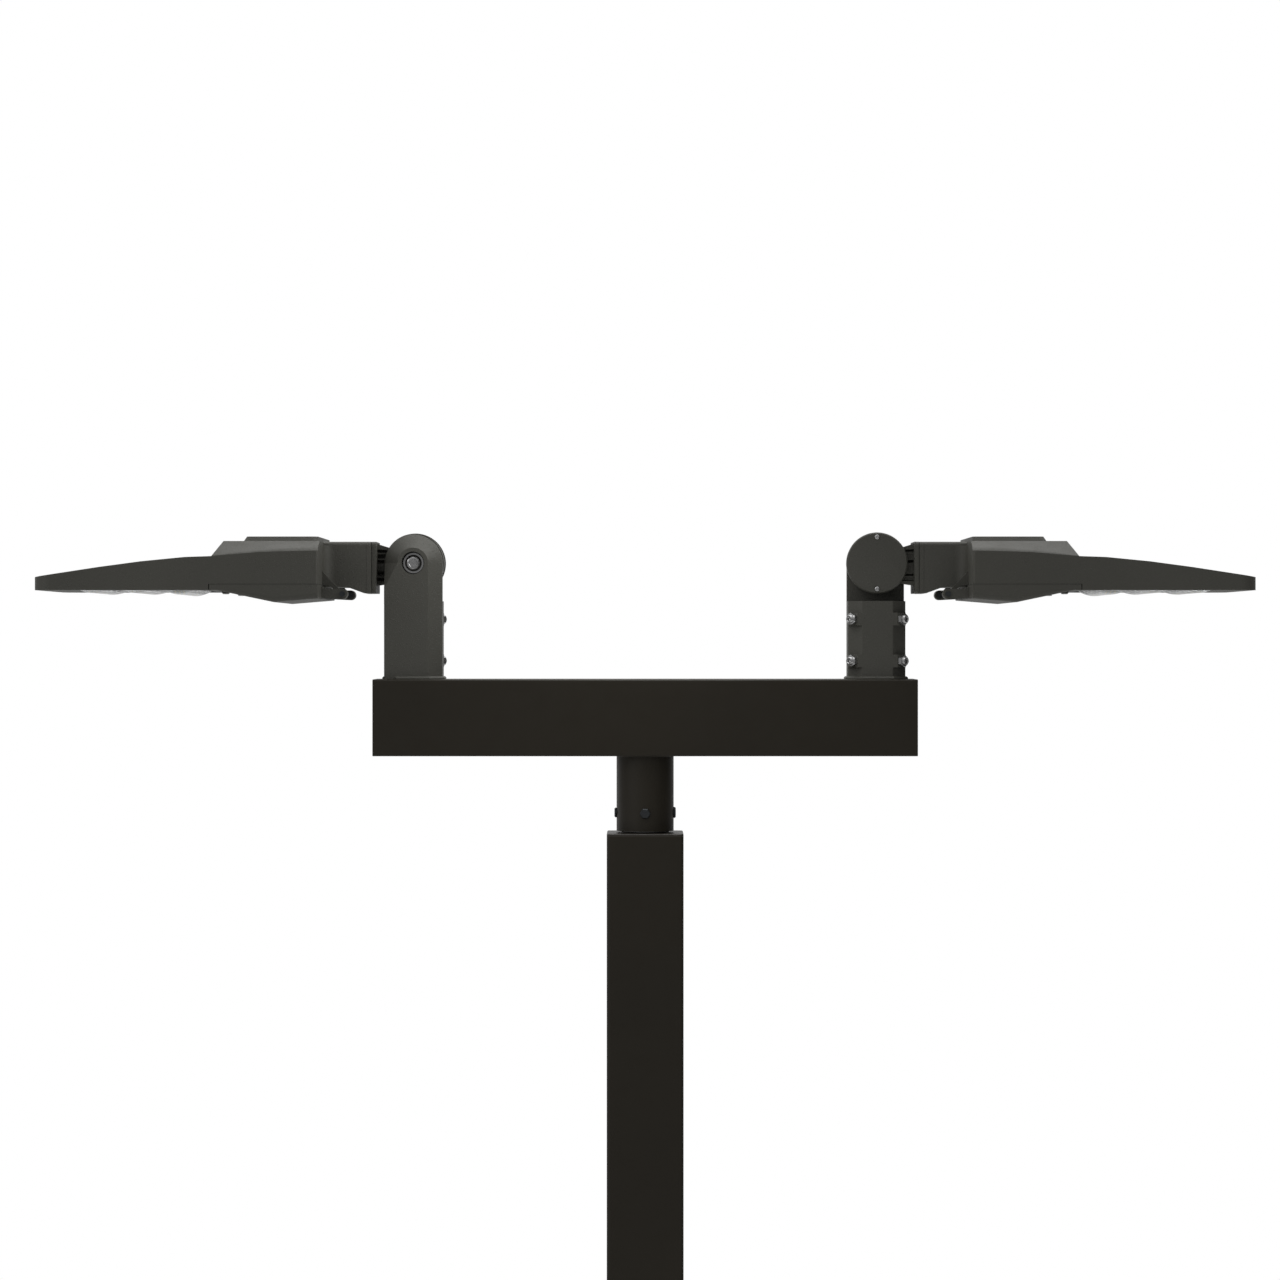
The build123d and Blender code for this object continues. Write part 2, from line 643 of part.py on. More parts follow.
def ear_bevel():
    """What the bevel takes off the cheek: round its top, down one edge, and a run-out on the other."""
    half = FITTER_SIDE / 2
    cut = FITTER_CHAMFER
    back = ear_y - cut
    margin = cut
    cone = Plane(origin=(0, back + cut / 2, KNUCKLE_Z), z_dir=(0, 1, 0)) * Cone(half, half - cut, cut)
    ring = rod((0, back, KNUCKLE_Z), (0, 1, 0), half + margin, cut) - cone
    ring &= block(-2 * half, 2 * half, back, ear_y, KNUCKLE_Z, KNUCKLE_Z + 2 * half)
    wedge = make_face(Polyline((-half, back), (-half, ear_y), (-half + cut, ear_y), close=True))
    edge = extrude(wedge, KNUCKLE_Z)
    side = (half, back, KNUCKLE_Z)
    front = (half - cut, ear_y, KNUCKLE_Z)
    corner = (half, ear_y, KNUCKLE_Z)
    foot = (half, ear_y, KNUCKLE_Z - EAR_RUNOUT)
    return [ring, edge, tetrahedron(side, front, corner, foot)]


def tetrahedron(a, b, c, d):
    triangles = [(a, b, c), (a, b, d), (b, c, d), (c, a, d)]
    faces = [make_face(Polyline(*corners, close=True)).face() for corners in triangles]
    return Solid(Shell(faces))


def fitter_flange():
    side = FITTER_SIDE + 2 * FITTER_FLANGE_LIP
    flange = octagon_prism(side, FITTER_CHAMFER + FITTER_FLANGE_LIP / 2, 0, FITTER_FLANGE_T)
    return chamfer(flange.faces().sort_by(Axis.Z)[-1].edges(), FITTER_FLANGE_T * 0.45)


def set_screws():
    screws = []
    face = boss_face()
    tip = tenon_r + TIP_GAP
    end = face + SET_SCREW_PROUD
    neck_end = face + JAM_NUT_T
    for z, (dx, dy, _) in screw_directions():
        shank = rod((dx * tip, dy * tip, z), (dx, dy, 0), SET_SCREW_D / 2, end - tip)
        cap = rod((dx * neck_end, dy * neck_end, z), (dx, dy, 0), SET_SCREW_END_D / 2, end - neck_end)
        outside = cap.faces().sort_by(Axis((0, 0, 0), (dx, dy, 0)))[-1]
        screws.append(shank + chamfer(outside.edges(), SET_SCREW_END_EDGE))
    return screws


def jam_nuts():
    nuts = []
    face = boss_face()
    for z, (dx, dy, _) in screw_directions():
        start = (dx * face, dy * face, z)
        nut = hex_rod(start, (dx, dy, 0), JAM_NUT_AF, JAM_NUT_T, turn=30)
        nuts.append(nut - rod(start, (dx, dy, 0), SET_SCREW_D / 2 + THREAD_GAP, JAM_NUT_T))
    return nuts


def knuckle_bolt():
    seat = ear_y - COUNTERBORE_DEPTH + WASHER_T
    tip = seat - BOLT_LENGTH
    bolt = rod((0, tip, KNUCKLE_Z), (0, 1, 0), BOLT_D / 2, BOLT_LENGTH)
    flange = rod((0, seat, KNUCKLE_Z), (0, 1, 0), BOLT_FLANGE_D / 2, BOLT_FLANGE_T)
    bolt += chamfer(flange.faces().sort_by(Axis.Y)[-1].edges(), BOLT_FLANGE_T * 0.35)
    head = hex_rod((0, seat + BOLT_FLANGE_T, KNUCKLE_Z), (0, 1, 0), BOLT_HEAD_AF, BOLT_HEAD_H)
    bolt += chamfer(head.faces().sort_by(Axis.Y)[-1].edges(), BOLT_HEAD_EDGE)
    return bolt


def knuckle_washer():
    seat = ear_y - COUNTERBORE_DEPTH
    return pipe((0, seat, KNUCKLE_Z), (0, 1, 0), WASHER_D / 2, BOLT_D / 2 + THREAD_GAP, WASHER_T)


# ---- knuckle arm, with z = 0 on the knuckle's axis from here on ------------------------------
def arm_face():
    """The toothed face of the knuckle arm, short of the ear's by the knuckle's gap."""
    return KNUCKLE_FACE_Y - KNUCKLE_GAP - TOOTH_H


def cover_screw_heights():
    return (-COVER_SCREW_R, COVER_SCREW_R)


def knuckle_arm():
    face = arm_face()
    depth = face - DRUM_OUTER_Y
    arm = rod((0, DRUM_OUTER_Y, 0), (0, 1, 0), DRUM_R, depth)
    arm += neck()
    arm += mount_flange()
    chamber = rod((0, DRUM_OUTER_Y, 0), (0, 1, 0), DRUM_R - DRUM_WALL, depth - DRUM_FLOOR)
    chamber -= rod((0, DRUM_OUTER_Y + DRUM_BOSS_DROP, 0), (0, 1, 0), DRUM_BOSS_R, depth)
    for z in cover_screw_heights():
        chamber -= rod((0, DRUM_OUTER_Y, z), (0, 1, 0), COVER_SCREW_D, depth)
    arm -= chamber
    arm -= rod((0, DRUM_OUTER_Y, 0), (0, 1, 0), BOLT_D / 2 + BOLT_FIT, depth)
    for z in cover_screw_heights():
        arm -= rod((0, DRUM_OUTER_Y, z), (0, 1, 0), COVER_SCREW_D / 2 + THREAD_GAP, COVER_SCREW_LENGTH)
    arm -= rod((DRUM_R - 2 * DRUM_WALL, duct_y, -DUCT_DROP), (1, 0, 0), DUCT_BORE_R, FLANGE_U)
    for y, z in arm_bolt_places():
        arm -= rod((FLANGE_U, y, z), (1, 0, 0), ARM_BOLT_D / 2 + THREAD_GAP, FLANGE_T)
    return arm + tooth_ring(face, TOOTH_H, 0)


def neck():
    """Ribbed neck between the drum and the mounting flange, closed by panels on the cover's side."""
    face = arm_face()
    inside = DRUM_R - DRUM_WALL + 1
    end = FLANGE_U
    root = inside - NECK_ROOT
    low = NECK_BOTTOM
    top_plate = [(root, NECK_TOP_DRUM - NECK_PLATE), (root, NECK_TOP_DRUM - 1), (end, NECK_TOP_FLANGE),
                 (end, NECK_TOP_FLANGE - 2 * NECK_PLATE)]
    bottom_plate = [(root, low + 1), (root, low + NECK_PLATE), (end, low + NECK_PLATE), (end, low - 2)]
    shape = side_prism(top_plate, DRUM_OUTER_Y, face) + side_prism(bottom_plate, DRUM_OUTER_Y, face)
    for z in NECK_RIBS:
        shape += block(inside, end, DRUM_OUTER_Y + NECK_RIB_INSET, face - NECK_RIB_INSET, z - NECK_RIB_T / 2,
                       z + NECK_RIB_T / 2)
    for z0, z1 in NECK_PANELS:
        shape += block(inside, end, DRUM_OUTER_Y + NECK_PANEL_INSET, duct_y, z0, z1)
    shape += block(inside, end, duct_y - NECK_WEB_T / 2, duct_y + NECK_WEB_T / 2, low, NECK_TOP_DRUM)
    return shape + rod((inside, duct_y, -DUCT_DROP), (1, 0, 0), DUCT_R, end - inside)


def mount_flange():
    y0, y1 = FLANGE_Y
    plate = Pos((y0 + y1) / 2, (FLANGE_TOP + FLANGE_BOTTOM) / 2) * RectangleRounded(
        y1 - y0, FLANGE_TOP - FLANGE_BOTTOM, BLOCK_EDGE_R)
    return extrude(Plane(origin=(FLANGE_U, 0, 0), x_dir=(0, 1, 0), z_dir=(1, 0, 0)) * plate, FLANGE_T)


def arm_bolt_places():
    """Flange bolt centres, as y and z."""
    y0, y1 = FLANGE_Y
    centre = (FLANGE_TOP + FLANGE_BOTTOM) / 2
    return [(y, centre + sign * ARM_BOLT_PITCH_Z / 2) for y in (y0 + ARM_BOLT_INSET, y1 - ARM_BOLT_INSET)
            for sign in (-1, 1)]


def arm_bolts():
    """Bolts from inside the arm block, through its wall and the gasket, into the flange."""
    seat = block_u + BLOCK_WALL
    bolts = []
    for y, z in arm_bolt_places():
        shank = rod((FLANGE_U, y, z), (1, 0, 0), ARM_BOLT_D / 2, seat - FLANGE_U)
        bolts.append(shank + hex_rod((seat, y, z), (1, 0, 0), ARM_BOLT_AF, ARM_BOLT_HEAD_H))
    return bolts


def arm_gasket():
    y0, y1 = FLANGE_Y
    start = FLANGE_U + FLANGE_T
    edge = ARM_GASKET_INSET
    band = ARM_GASKET_BAND
    sheet = block(start, block_u, y0 + edge, y1 - edge, FLANGE_BOTTOM + edge, FLANGE_TOP - edge)
    sheet -= block(start, block_u, y0 + band, y1 - band, FLANGE_BOTTOM + band, FLANGE_TOP - band)
    for y, z in arm_bolt_places():
        sheet += rod((start, y, z), (1, 0, 0), ARM_BOLT_D, ARM_GASKET_T)
        sheet -= rod((start, y, z), (1, 0, 0), ARM_BOLT_D / 2 + THREAD_GAP, ARM_GASKET_T)
    return sheet


def cover_gasket():
    gasket = pipe((0, cover_back_y, 0), (0, 1, 0), DRUM_R, DRUM_R - DRUM_WALL, GASKET_T)
    for z in cover_screw_heights():
        gasket += rod((0, cover_back_y, z), (0, 1, 0), COVER_SCREW_D, GASKET_T)
        gasket -= rod((0, cover_back_y, z), (0, 1, 0), COVER_SCREW_D / 2 + THREAD_GAP, GASKET_T)
    return gasket & rod((0, cover_back_y, 0), (0, 1, 0), DRUM_R, GASKET_T)


def cover_screw_seat():
    """The countersunk seat of the cover screws' heads."""
    return cover_back_y - COVER_T + COVER_SCREW_SINK


def knuckle_cover():
    cover = rod((0, cover_back_y, 0), (0, -1, 0), COVER_R, COVER_T)
    cover = chamfer(cover.faces().sort_by(Axis.Y)[0].edges(), COVER_BEVEL)
    for z in cover_screw_heights():
        cover -= rod((0, cover_back_y, z), (0, -1, 0), COVER_SCREW_D / 2 + THREAD_GAP, COVER_T)
        sink_r = COVER_SCREW_HEAD_D / 2 + COVER_SCREW_RING
        cover -= rod((0, cover_screw_seat(), z), (0, -1, 0), sink_r, COVER_SCREW_SINK)
    return cover


def cover_screws():
    seat = cover_screw_seat()
    screws = []
    for z in cover_screw_heights():
        shank = rod((0, seat, z), (0, 1, 0), COVER_SCREW_D / 2, COVER_SCREW_LENGTH)
        head = rod((0, seat, z), (0, -1, 0), COVER_SCREW_HEAD_D / 2, COVER_SCREW_HEAD_H)
        outside = head.faces().sort_by(Axis.Y)[0]
        screws.append(shank + chamfer(outside.edges(), COVER_SCREW_HEAD_H * 0.45))
    return screws


# ---- head casting ---------------------------------------------------------------------------
def height_on(line, u):
    """Height of a falling line of (u, z) points at a distance u, its points sorted by u."""
    for (u0, z0), (u1, z1) in zip(line, line[1:]):
        if u <= u1:
            return z0 + (z1 - z0) * (u - u0) / (u1 - u0)
    return line[-1][1]


def shoulder_z(u):
    """Height of the side wall's top edge behind the step."""
    return height_on(shoulder_line, u)


def crest_z(u):
    """Height of the head's top edge in front of the step."""
    return height_on(crest_line, u)


def head_plan():
    """The head seen from above, as tall as it can be: square at the rear, rounded at the tip."""
    outline = Pos((HEAD_REAR + HEAD_TIP) / 2, 0) * Rectangle(HEAD_TIP - HEAD_REAR, HEAD_WIDTH)
    tip_corners = outline.vertices().group_by(Axis.X)[-1]
    outline = fillet(tip_corners, TIP_CORNER_R)
    rear_corners = outline.vertices().group_by(Axis.X)[0]
    outline = fillet(rear_corners, REAR_CORNER_R)
    return Pos(0, 0, far_below) * extrude(outline, far_above - far_below)


def crest_outline():
    """Side outline of the head below its hump."""
    points = [(HEAD_REAR, HEAD_BOTTOM), (HEAD_TIP, HEAD_BOTTOM), (HEAD_TIP, TIP_TOP), *CREST]
    points += [(STEP_U, CREST[-1][1] + STEP_RISE), (STEP_U - STEP_RUN, SHOULDER_FRONT - STEP_DROP)]
    return points + list(reversed(shoulder_line))


def hump_section(u, inset, soft):
    """One cross-section of the rear hump at a distance u, as a face."""
    half = half_head - inset
    low = SEAM_Z + SEAM_GAP
    shoulder = shoulder_z(u) - inset * 0.6
    high = HUMP_TOP - inset
    run = HUMP_SIDE_RUN
    right = [(half, low), (half, shoulder), (half - run, high)]
    left = [(-y, z) for y, z in reversed(right)]
    outline = make_face(Polyline(*right, *left, close=True))
    corners = outline.vertices().group_by(Axis.Y)
    outline = fillet(corners[1], soft)
    outline = fillet(outline.vertices().group_by(Axis.Y)[-1], max(HUMP_RIDGE_R - inset, 1.0))
    return Plane(origin=(u, 0, 0), x_dir=(0, 1, 0), z_dir=(1, 0, 0)) * outline


def hump(inset):
    """The driver bay's roof: a crisp shoulder in front that softens towards the rear."""
    rear = HEAD_REAR + inset
    front = HUMP_FOOT - inset
    stations = zip((rear, SHOULDER_MID_U, front), SHOULDER_SOFT)
    body = loft([hump_section(u, inset, soft) for u, soft in stations])
    lean = HUMP_FRONT_RUN
    foot = SHOULDER_FRONT - 1
    wedge = side_prism([(front, foot), (HEAD_TIP, foot), (HEAD_TIP, far_above), (front - lean, far_above),
                        (front - lean, HUMP_TOP - inset)], -HEAD_WIDTH, HEAD_WIDTH)
    return body - wedge


def plateau():
    """The raised rear field of the hump."""
    half = half_head - HUMP_SIDE_RUN - PLATEAU_MARGIN
    rear = HEAD_REAR + REAR_CORNER_R
    low = HUMP_TOP - PLATEAU_ROOT
    length = PLATEAU_FRONT - rear
    base = Pos((rear + PLATEAU_FRONT) / 2, 0, low) * RectangleRounded(length, 2 * half, PLATEAU_CORNER_R)
    top = Pos((rear + PLATEAU_FRONT - PLATEAU_RUN) / 2, 0, PLATEAU_TOP) * RectangleRounded(
        length - PLATEAU_RUN, 2 * (half - PLATEAU_RUN), PLATEAU_CORNER_R)
    return loft([base, top])


def head_skin():
    skin = side_prism(crest_outline(), -half_head, half_head)
    skin += hump(0)
    return (skin & head_plan()) + plateau()


def door_space():
    """The room the door takes below the seam."""
    seam = SEAM_Z + SEAM_GAP
    return block(HEAD_REAR - DOOR_GAP, DOOR_FRONT + DOOR_GAP, -HEAD_WIDTH, HEAD_WIDTH, far_below, seam)


def fin_gaps():
    """The spaces between the heat-sink fins on top of the light engine, and the fins' set-back tops."""
    u0, u1 = FIN_U
    field = HEAD_WIDTH - 2 * FIN_MARGIN
    gap = (field - (FIN_COUNT - 1) * FIN_T) / FIN_COUNT
    stations = sorted([u0, u1, *[u for u, _ in CREST]])
    floor = [(u, crest_z(u) - FIN_DEPTH) for u in stations]
    roof = [(u1, far_above), (u0, far_above)]
    gaps = []
    for index in range(FIN_COUNT):
        y0 = -field / 2 + index * (gap + FIN_T)
        gaps.append(side_prism(floor + roof, y0, y0 + gap))
    tops = [(u, crest_z(u) - FIN_SET_BACK) for u in stations]
    return gaps + [side_prism(tops + roof, -field / 2, field / 2)]


def arm_block():
    """The box that carries the head."""
    end = HEAD_REAR + 1
    outline = [(block_u, FLANGE_BOTTOM), (BLOCK_KNEE_U, FLANGE_BOTTOM), (BLOCK_RISE_U, BLOCK_RISE_Z),
               (end, BLOCK_RISE_Z), (end, BLOCK_TOP), (block_u, BLOCK_TOP)]
    shape = side_prism(outline, -BLOCK_Y, BLOCK_Y)
    top_edges = shape.edges().filter_by(Axis.X).group_by(Axis.Z)[-1]
    return fillet(top_edges, BLOCK_EDGE_R)


def block_flare():
    """Concave webs that widen the arm block into the rear wall."""
    webs = []
    radius = BLOCK_FLARE
    for side in (-1, 1):
        corner = block(HEAD_REAR - radius, HEAD_REAR + 1, side * (BLOCK_Y - 1), side * (BLOCK_Y + radius),
                       BLOCK_RISE_Z + FLARE_LIFT, BLOCK_TOP - BLOCK_EDGE_R)
        centre = (HEAD_REAR - radius, side * (BLOCK_Y + radius), far_below)
        webs.append(corner - rod(centre, (0, 0, 1), radius, far_above - far_below))
    return webs


def hinge_lug(side):
    """A gusset from the rear wall down to the hinge barrel."""
    y0, y1 = sorted((side * LUG_Y[0], side * LUG_Y[1]))
    rear = HEAD_REAR + 1
    seam = SEAM_Z + SEAM_GAP
    points = [(rear, LUG_TOP), (HINGE_U + HINGE_R * 0.6, HINGE_Z + HINGE_R * 0.8), (HINGE_U, HINGE_Z),
              (HINGE_U + HINGE_R * 0.4, HINGE_Z - HINGE_R * 0.6), (HEAD_REAR - LUG_HEEL, seam), (rear, seam)]
    lug = side_prism(points, y0, y1)
    lug += rod((HINGE_U, y0, HINGE_Z), (0, 1, 0), HINGE_R, y1 - y0)
    return lug - rod((HINGE_U, y0, HINGE_Z), (0, 1, 0), HINGE_PIN_D / 2, y1 - y0)


def driver_bay():
    """The hollow under the hump, with a wider mouth at the seam."""
    rear = HEAD_REAR + HEAD_WALL
    side = half_head - HEAD_WALL
    room = hump(HEAD_WALL) & block(rear, bay_front, -side, side, far_below, far_above)
    lip = HEAD_WALL
    mouth = block(rear + BAY_LEDGE, bay_front, -side + lip, side - lip, SEAM_Z, SEAM_Z + BAY_MOUTH)
    return room + mouth


def head_housing():
    body = head_skin()
    body += arm_block()
    body += block_flare()
    body -= door_space()
    body += [hinge_lug(side) for side in (-1, 1)]
    body -= driver_bay()
    body -= arm_cavity()
    body -= fin_gaps()
    body -= block(*BAY_U, -bay_y, bay_y, far_below, BAY_TOP)
    body -= arm_block_groove()
    for y in door_screw_sides():
        seam = SEAM_Z + SEAM_GAP
        body += rod((DOOR_SCREW_U, y, seam), (0, 0, 1), DOOR_SCREW_HOLE_D, DOOR_SCREW_BOSS_H)
        body -= rod((DOOR_SCREW_U, y, SEAM_Z), (0, 0, 1), DOOR_SCREW_HOLE_D / 2, DOOR_SCREW_DEPTH)
    for y, z in arm_bolt_places():
        body -= rod((block_u, y, z), (1, 0, 0), ARM_BOLT_D / 2 + THREAD_GAP, BLOCK_WALL)
    return body


def arm_cavity():
    """The hollow of the arm block, and the wire way through its front wall."""
    side = BLOCK_Y - BLOCK_SIDE_WALL
    inside = block(block_u + BLOCK_WALL, HEAD_REAR + HEAD_WALL + 1, -side, side, BLOCK_RISE_Z + BLOCK_WALL,
                   BLOCK_TOP - BLOCK_SIDE_WALL)
    return inside + rod((block_u, duct_y, -DUCT_DROP), (1, 0, 0), DUCT_R, 2 * BLOCK_WALL)


def arm_block_groove():
    """The fine step line round the arm block next to the flange."""
    half = BLOCK_SEAM / 2
    outer = block(BLOCK_SEAM_U - half, BLOCK_SEAM_U + half, -HEAD_WIDTH, HEAD_WIDTH, far_below, far_above)
    keep = block(BLOCK_SEAM_U - half, BLOCK_SEAM_U + half, -BLOCK_Y + BLOCK_SEAM, BLOCK_Y - BLOCK_SEAM,
                 FLANGE_BOTTOM + BLOCK_SEAM, BLOCK_TOP - BLOCK_SEAM)
    return outer - keep


# ---- light engine ---------------------------------------------------------------------------
def led_board():
    margin = FRAME_RIM
    top = BAY_TOP - BOARD_GAP
    low = top - BOARD_T
    board = block(BAY_U[0] + margin, BAY_U[1] - margin, -bay_y + margin, bay_y - margin, low, top)
    half = LED_SIDE / 2
    for u, y, _ in dome_places():
        board += block(u - half, u + half, y - half, y + half, low - LED_T, low)
    return board


def dome_places():
    """Centre and drop below the head of each optic; the row next to the door is deeper."""
    first = BAY_U[1] - DOME_TIP_MARGIN
    middle_row = (DOME_ROWS - 1) / 2
    places = []
    for column in range(DOME_COLUMNS):
        drop = END_DOME_DROP if column == DOME_COLUMNS - 1 else DOME_DROP
        for row in range(DOME_ROWS):
            places.append((first - column * DOME_PITCH_U, (row - middle_row) * dome_pitch_y, drop))
    return places


def dome(u, y, radius, height):
    """A shallow dome hanging below the lens sheet."""
    ball_r = (radius * radius + height * height) / (2 * height)
    ball = Pos(u, y, LENS_Z + ball_r - height) * Sphere(ball_r)
    low = LENS_Z - height - LENS_T
    return ball & block(u - radius, u + radius, y - radius, y + radius, low, LENS_Z + LENS_T / 2)


def lens():
    side = bay_y - FRAME_GAP
    sheet = block(BAY_U[0] + FRAME_GAP, BAY_U[1] - FRAME_GAP, -side, side, LENS_Z, LENS_Z + LENS_T)
    for u, y, drop in dome_places():
        sheet += dome(u, y, dome_r, LENS_Z - HEAD_BOTTOM + drop)
    return sheet


def lens_frame():
    """The dark rim, flush with the casting, that holds the lens from below."""
    u0, u1 = BAY_U
    gap = FRAME_GAP
    rim = FRAME_RIM
    frame = block(u0 + gap, u1 - gap, -bay_y + gap, bay_y - gap, HEAD_BOTTOM, LENS_Z)
    return frame - block(u0 + rim, u1 - rim, -bay_y + rim, bay_y - rim, HEAD_BOTTOM, LENS_Z)


# ---- driver bay ------------------------------------------------------------------------------
def device(start_u, centre_y, size, top, corner):
    """A boxed device hung below a height, from a distance along the head."""
    du, dy, dz = size
    outline = Pos(start_u + du / 2, centre_y, top - dz) * RectangleRounded(du, dy, corner)
    return extrude(outline, dz)


def led_driver():
    return device(driver_u, 0, DRIVER_SIZE, device_roof, DEVICE_CORNER_R)


def surge_protector():
    """The surge protector, on the driver's front side and clear of it by the device gap."""
    start = driver_u + DRIVER_SIZE[0] + DEVICE_GAP
    room = bay_front - HUMP_FRONT_RUN - HEAD_WALL - DEVICE_GAP - start
    size = (min(SURGE_SIZE[0], room), *SURGE_SIZE[1:])
    return device(start, SURGE_Y, size, device_roof - SURGE_DROP, DEVICE_CORNER_R)


# ---- door ------------------------------------------------------------------------------------
def door_outline(inset):
    """Side outline of the door, shrunk by an inset."""
    rear = HEAD_REAR + inset
    front = DOOR_FRONT - inset
    low = HEAD_BOTTOM + inset
    return [(rear, SEAM_Z), (front, SEAM_Z), (front, low), (DOOR_FLAT, low), (DOOR_BELLY_U, DOOR_BELLY_Z + inset),
            (rear, DOOR_REAR_Z + inset)]


def door_screw_sides():
    """Distance of each door screw from the middle."""
    return (-(half_head - DOOR_SCREW_INSET), half_head - DOOR_SCREW_INSET)


def driver_door():
    half = half_head
    door = side_prism(door_outline(0), -half, half)
    side_edges = [edge for edge in door.edges() if abs(abs(edge.center().Y) - half) < DOOR_WALL / 10]
    low_edges = [edge for edge in side_edges if edge.center().Z < HEAD_BOTTOM - 1]
    sloping = [edge for edge in low_edges if edge.length > DOOR_EDGE_R * 3]
    door = fillet(sloping, DOOR_EDGE_R)
    door -= side_prism(door_outline(DOOR_WALL), -half + DOOR_WALL, half - DOOR_WALL)
    door += [door_arm(side) for side in (-1, 1)]
    seat = door_screw_seat()
    for y in door_screw_sides():
        door += rod((DOOR_SCREW_U, y, seat), (0, 0, 1), DOOR_PAD_R, SEAM_Z - seat)
        door -= rod((DOOR_SCREW_U, y, seat), (0, 0, 1), DOOR_SCREW_D / 2 + THREAD_GAP, SEAM_Z - seat)
    return door


def door_screw_seat():
    """Height of the flat pads that the door screws sit on, just below the door's sloping underside."""
    fall = (HEAD_BOTTOM - DOOR_BELLY_Z) / (DOOR_FLAT - DOOR_BELLY_U)
    return HEAD_BOTTOM - fall * (DOOR_FLAT - DOOR_SCREW_U + DOOR_PAD_R) - DOOR_PAD_PROUD


def door_arm(side):
    """The arm that reaches back from the door to its hinge barrel."""
    y0, y1 = sorted((side * DOOR_ARM_Y[0], side * DOOR_ARM_Y[1]))
    reach = HEAD_REAR + DOOR_WALL / 2
    top = HINGE_Z + HINGE_R
    points = [(HINGE_U, top), (HEAD_REAR - DOOR_ARM_HEEL, top), (reach, SEAM_Z - DOOR_GAP),
              (reach, DOOR_REAR_Z + DOOR_WALL / 2), (HINGE_U, HINGE_Z - HINGE_R)]
    arm = side_prism(points, y0, y1) + rod((HINGE_U, y0, HINGE_Z), (0, 1, 0), HINGE_R, y1 - y0)
    return arm - rod((HINGE_U, y0, HINGE_Z), (0, 1, 0), HINGE_PIN_D / 2 + HINGE_FIT, y1 - y0)


def hinge_pins():
    """A headed pin through each lug and door arm, with a retaining collar."""
    pins = []
    inner = LUG_Y[0] - HINGE_PIN_END
    outer = DOOR_ARM_Y[1] + HINGE_PIN_END
    for side in (-1, 1):
        out = (0, side, 0)
        pin = rod((HINGE_U, side * inner, HINGE_Z), out, HINGE_PIN_D / 2, outer - inner)
        head = rod((HINGE_U, side * inner, HINGE_Z), (0, -side, 0), HINGE_PIN_D * 0.8, HINGE_HEAD_T)
        collar = rod((HINGE_U, side * outer, HINGE_Z), out, HINGE_PIN_D * 0.75, HINGE_HEAD_T)
        pins.append(pin + head + collar)
    return pins


def door_screws():
    screws = []
    seat = door_screw_seat()
    for y in door_screw_sides():
        shank = rod((DOOR_SCREW_U, y, seat), (0, 0, 1), DOOR_SCREW_D / 2, SEAM_Z + DOOR_SCREW_BITE - seat)
        head = rod((DOOR_SCREW_U, y, seat), (0, 0, -1), DOOR_SCREW_HEAD_D / 2, DOOR_SCREW_HEAD_H)
        outside = head.faces().sort_by(Axis.Z)[0]
        screws.append(shank + chamfer(outside.edges(), DOOR_SCREW_HEAD_H * 0.35))
    return screws


def door_gasket():
    """The seal between the housing's rim and the door."""
    edge = DOOR_GASKET_INSET
    z0 = SEAM_Z + SEAM_GAP * 0.1
    z1 = SEAM_Z + SEAM_GAP
    inner = edge + DOOR_GASKET_W
    ring = block(HEAD_REAR + edge, bay_front + DOOR_GASKET_W / 2, -half_head + edge, half_head - edge, z0, z1)
    return ring - block(HEAD_REAR + inner, bay_front, -half_head + inner, half_head - inner, z0, z1)


# ---- writing --------------------------------------------------------------------------------
def write_pole():
    save("base_plate", base_plate())
    save("pole_shaft", pole_shaft())
    save("handhole_rim", handhole_rim())
    save("handhole_cover", handhole_cover())
    save("handhole_bar", handhole_bar())
    save("handhole_screws", *handhole_screws())
    save("ground_stud", *ground_stud())
    save("base_cover_left", base_cover_half(-1))
    save("base_cover_right", base_cover_half(1))
    save("base_cover_screws", *base_cover_screws())
    save("pole_cap", pole_cap())
    save("pole_tenon", pole_tenon())
    save("tenon_gusset", tenon_gusset())


def write_bracket():
    save("crossarm_tube", crossarm_tube())
    save("crossarm_end_caps", *crossarm_end_caps())
    save("bracket_sleeve", bracket_sleeve())
    save("bracket_bolts", *bracket_bolts())
    save("crossarm_tenons", *crossarm_tenons())


def fitter_pieces():
    """The right-hand slipfitter's pieces by name, each as a list of shapes."""
    return {
        "slipfitter": [slipfitter()],
        "set_screws": set_screws(),
        "jam_nuts": jam_nuts(),
        "knuckle_bolt": [knuckle_bolt()],
        "knuckle_washer": [knuckle_washer()],
    }


def head_pieces():
    """The right-hand knuckle arm's and head's pieces by name, each as a list of shapes."""
    return {
        "knuckle_arm": [knuckle_arm()],
        "arm_bolts": arm_bolts(),
        "arm_gasket": [arm_gasket()],
        "cover_gasket": [cover_gasket()],
        "knuckle_cover": [knuckle_cover()],
        "cover_screws": cover_screws(),
        "head_housing": [head_housing()],
        "lens_frame": [lens_frame()],
        "lens": [lens()],
        "led_board": [led_board()],
        "led_driver": [led_driver()],
        "surge_protector": [surge_protector()],
        "door_gasket": [door_gasket()],
        "hinge_pins": hinge_pins(),
        "driver_door": [driver_door()],
        "door_screws": door_screws(),
    }


def write_unit(pieces, height):
    """Write both ends' copies of a set of pieces, raised above the crossarm's top."""
    for piece, shapes in pieces.items():
        for end, side in (("left", -1), ("right", 1)):
            save(f"{end}_{piece}", *[at_end(shape, side, height) for shape in shapes])


os.makedirs("parts", exist_ok=True)
write_pole()
write_bracket()
write_unit(fitter_pieces(), 0)
write_unit(head_pieces(), KNUCKLE_Z)
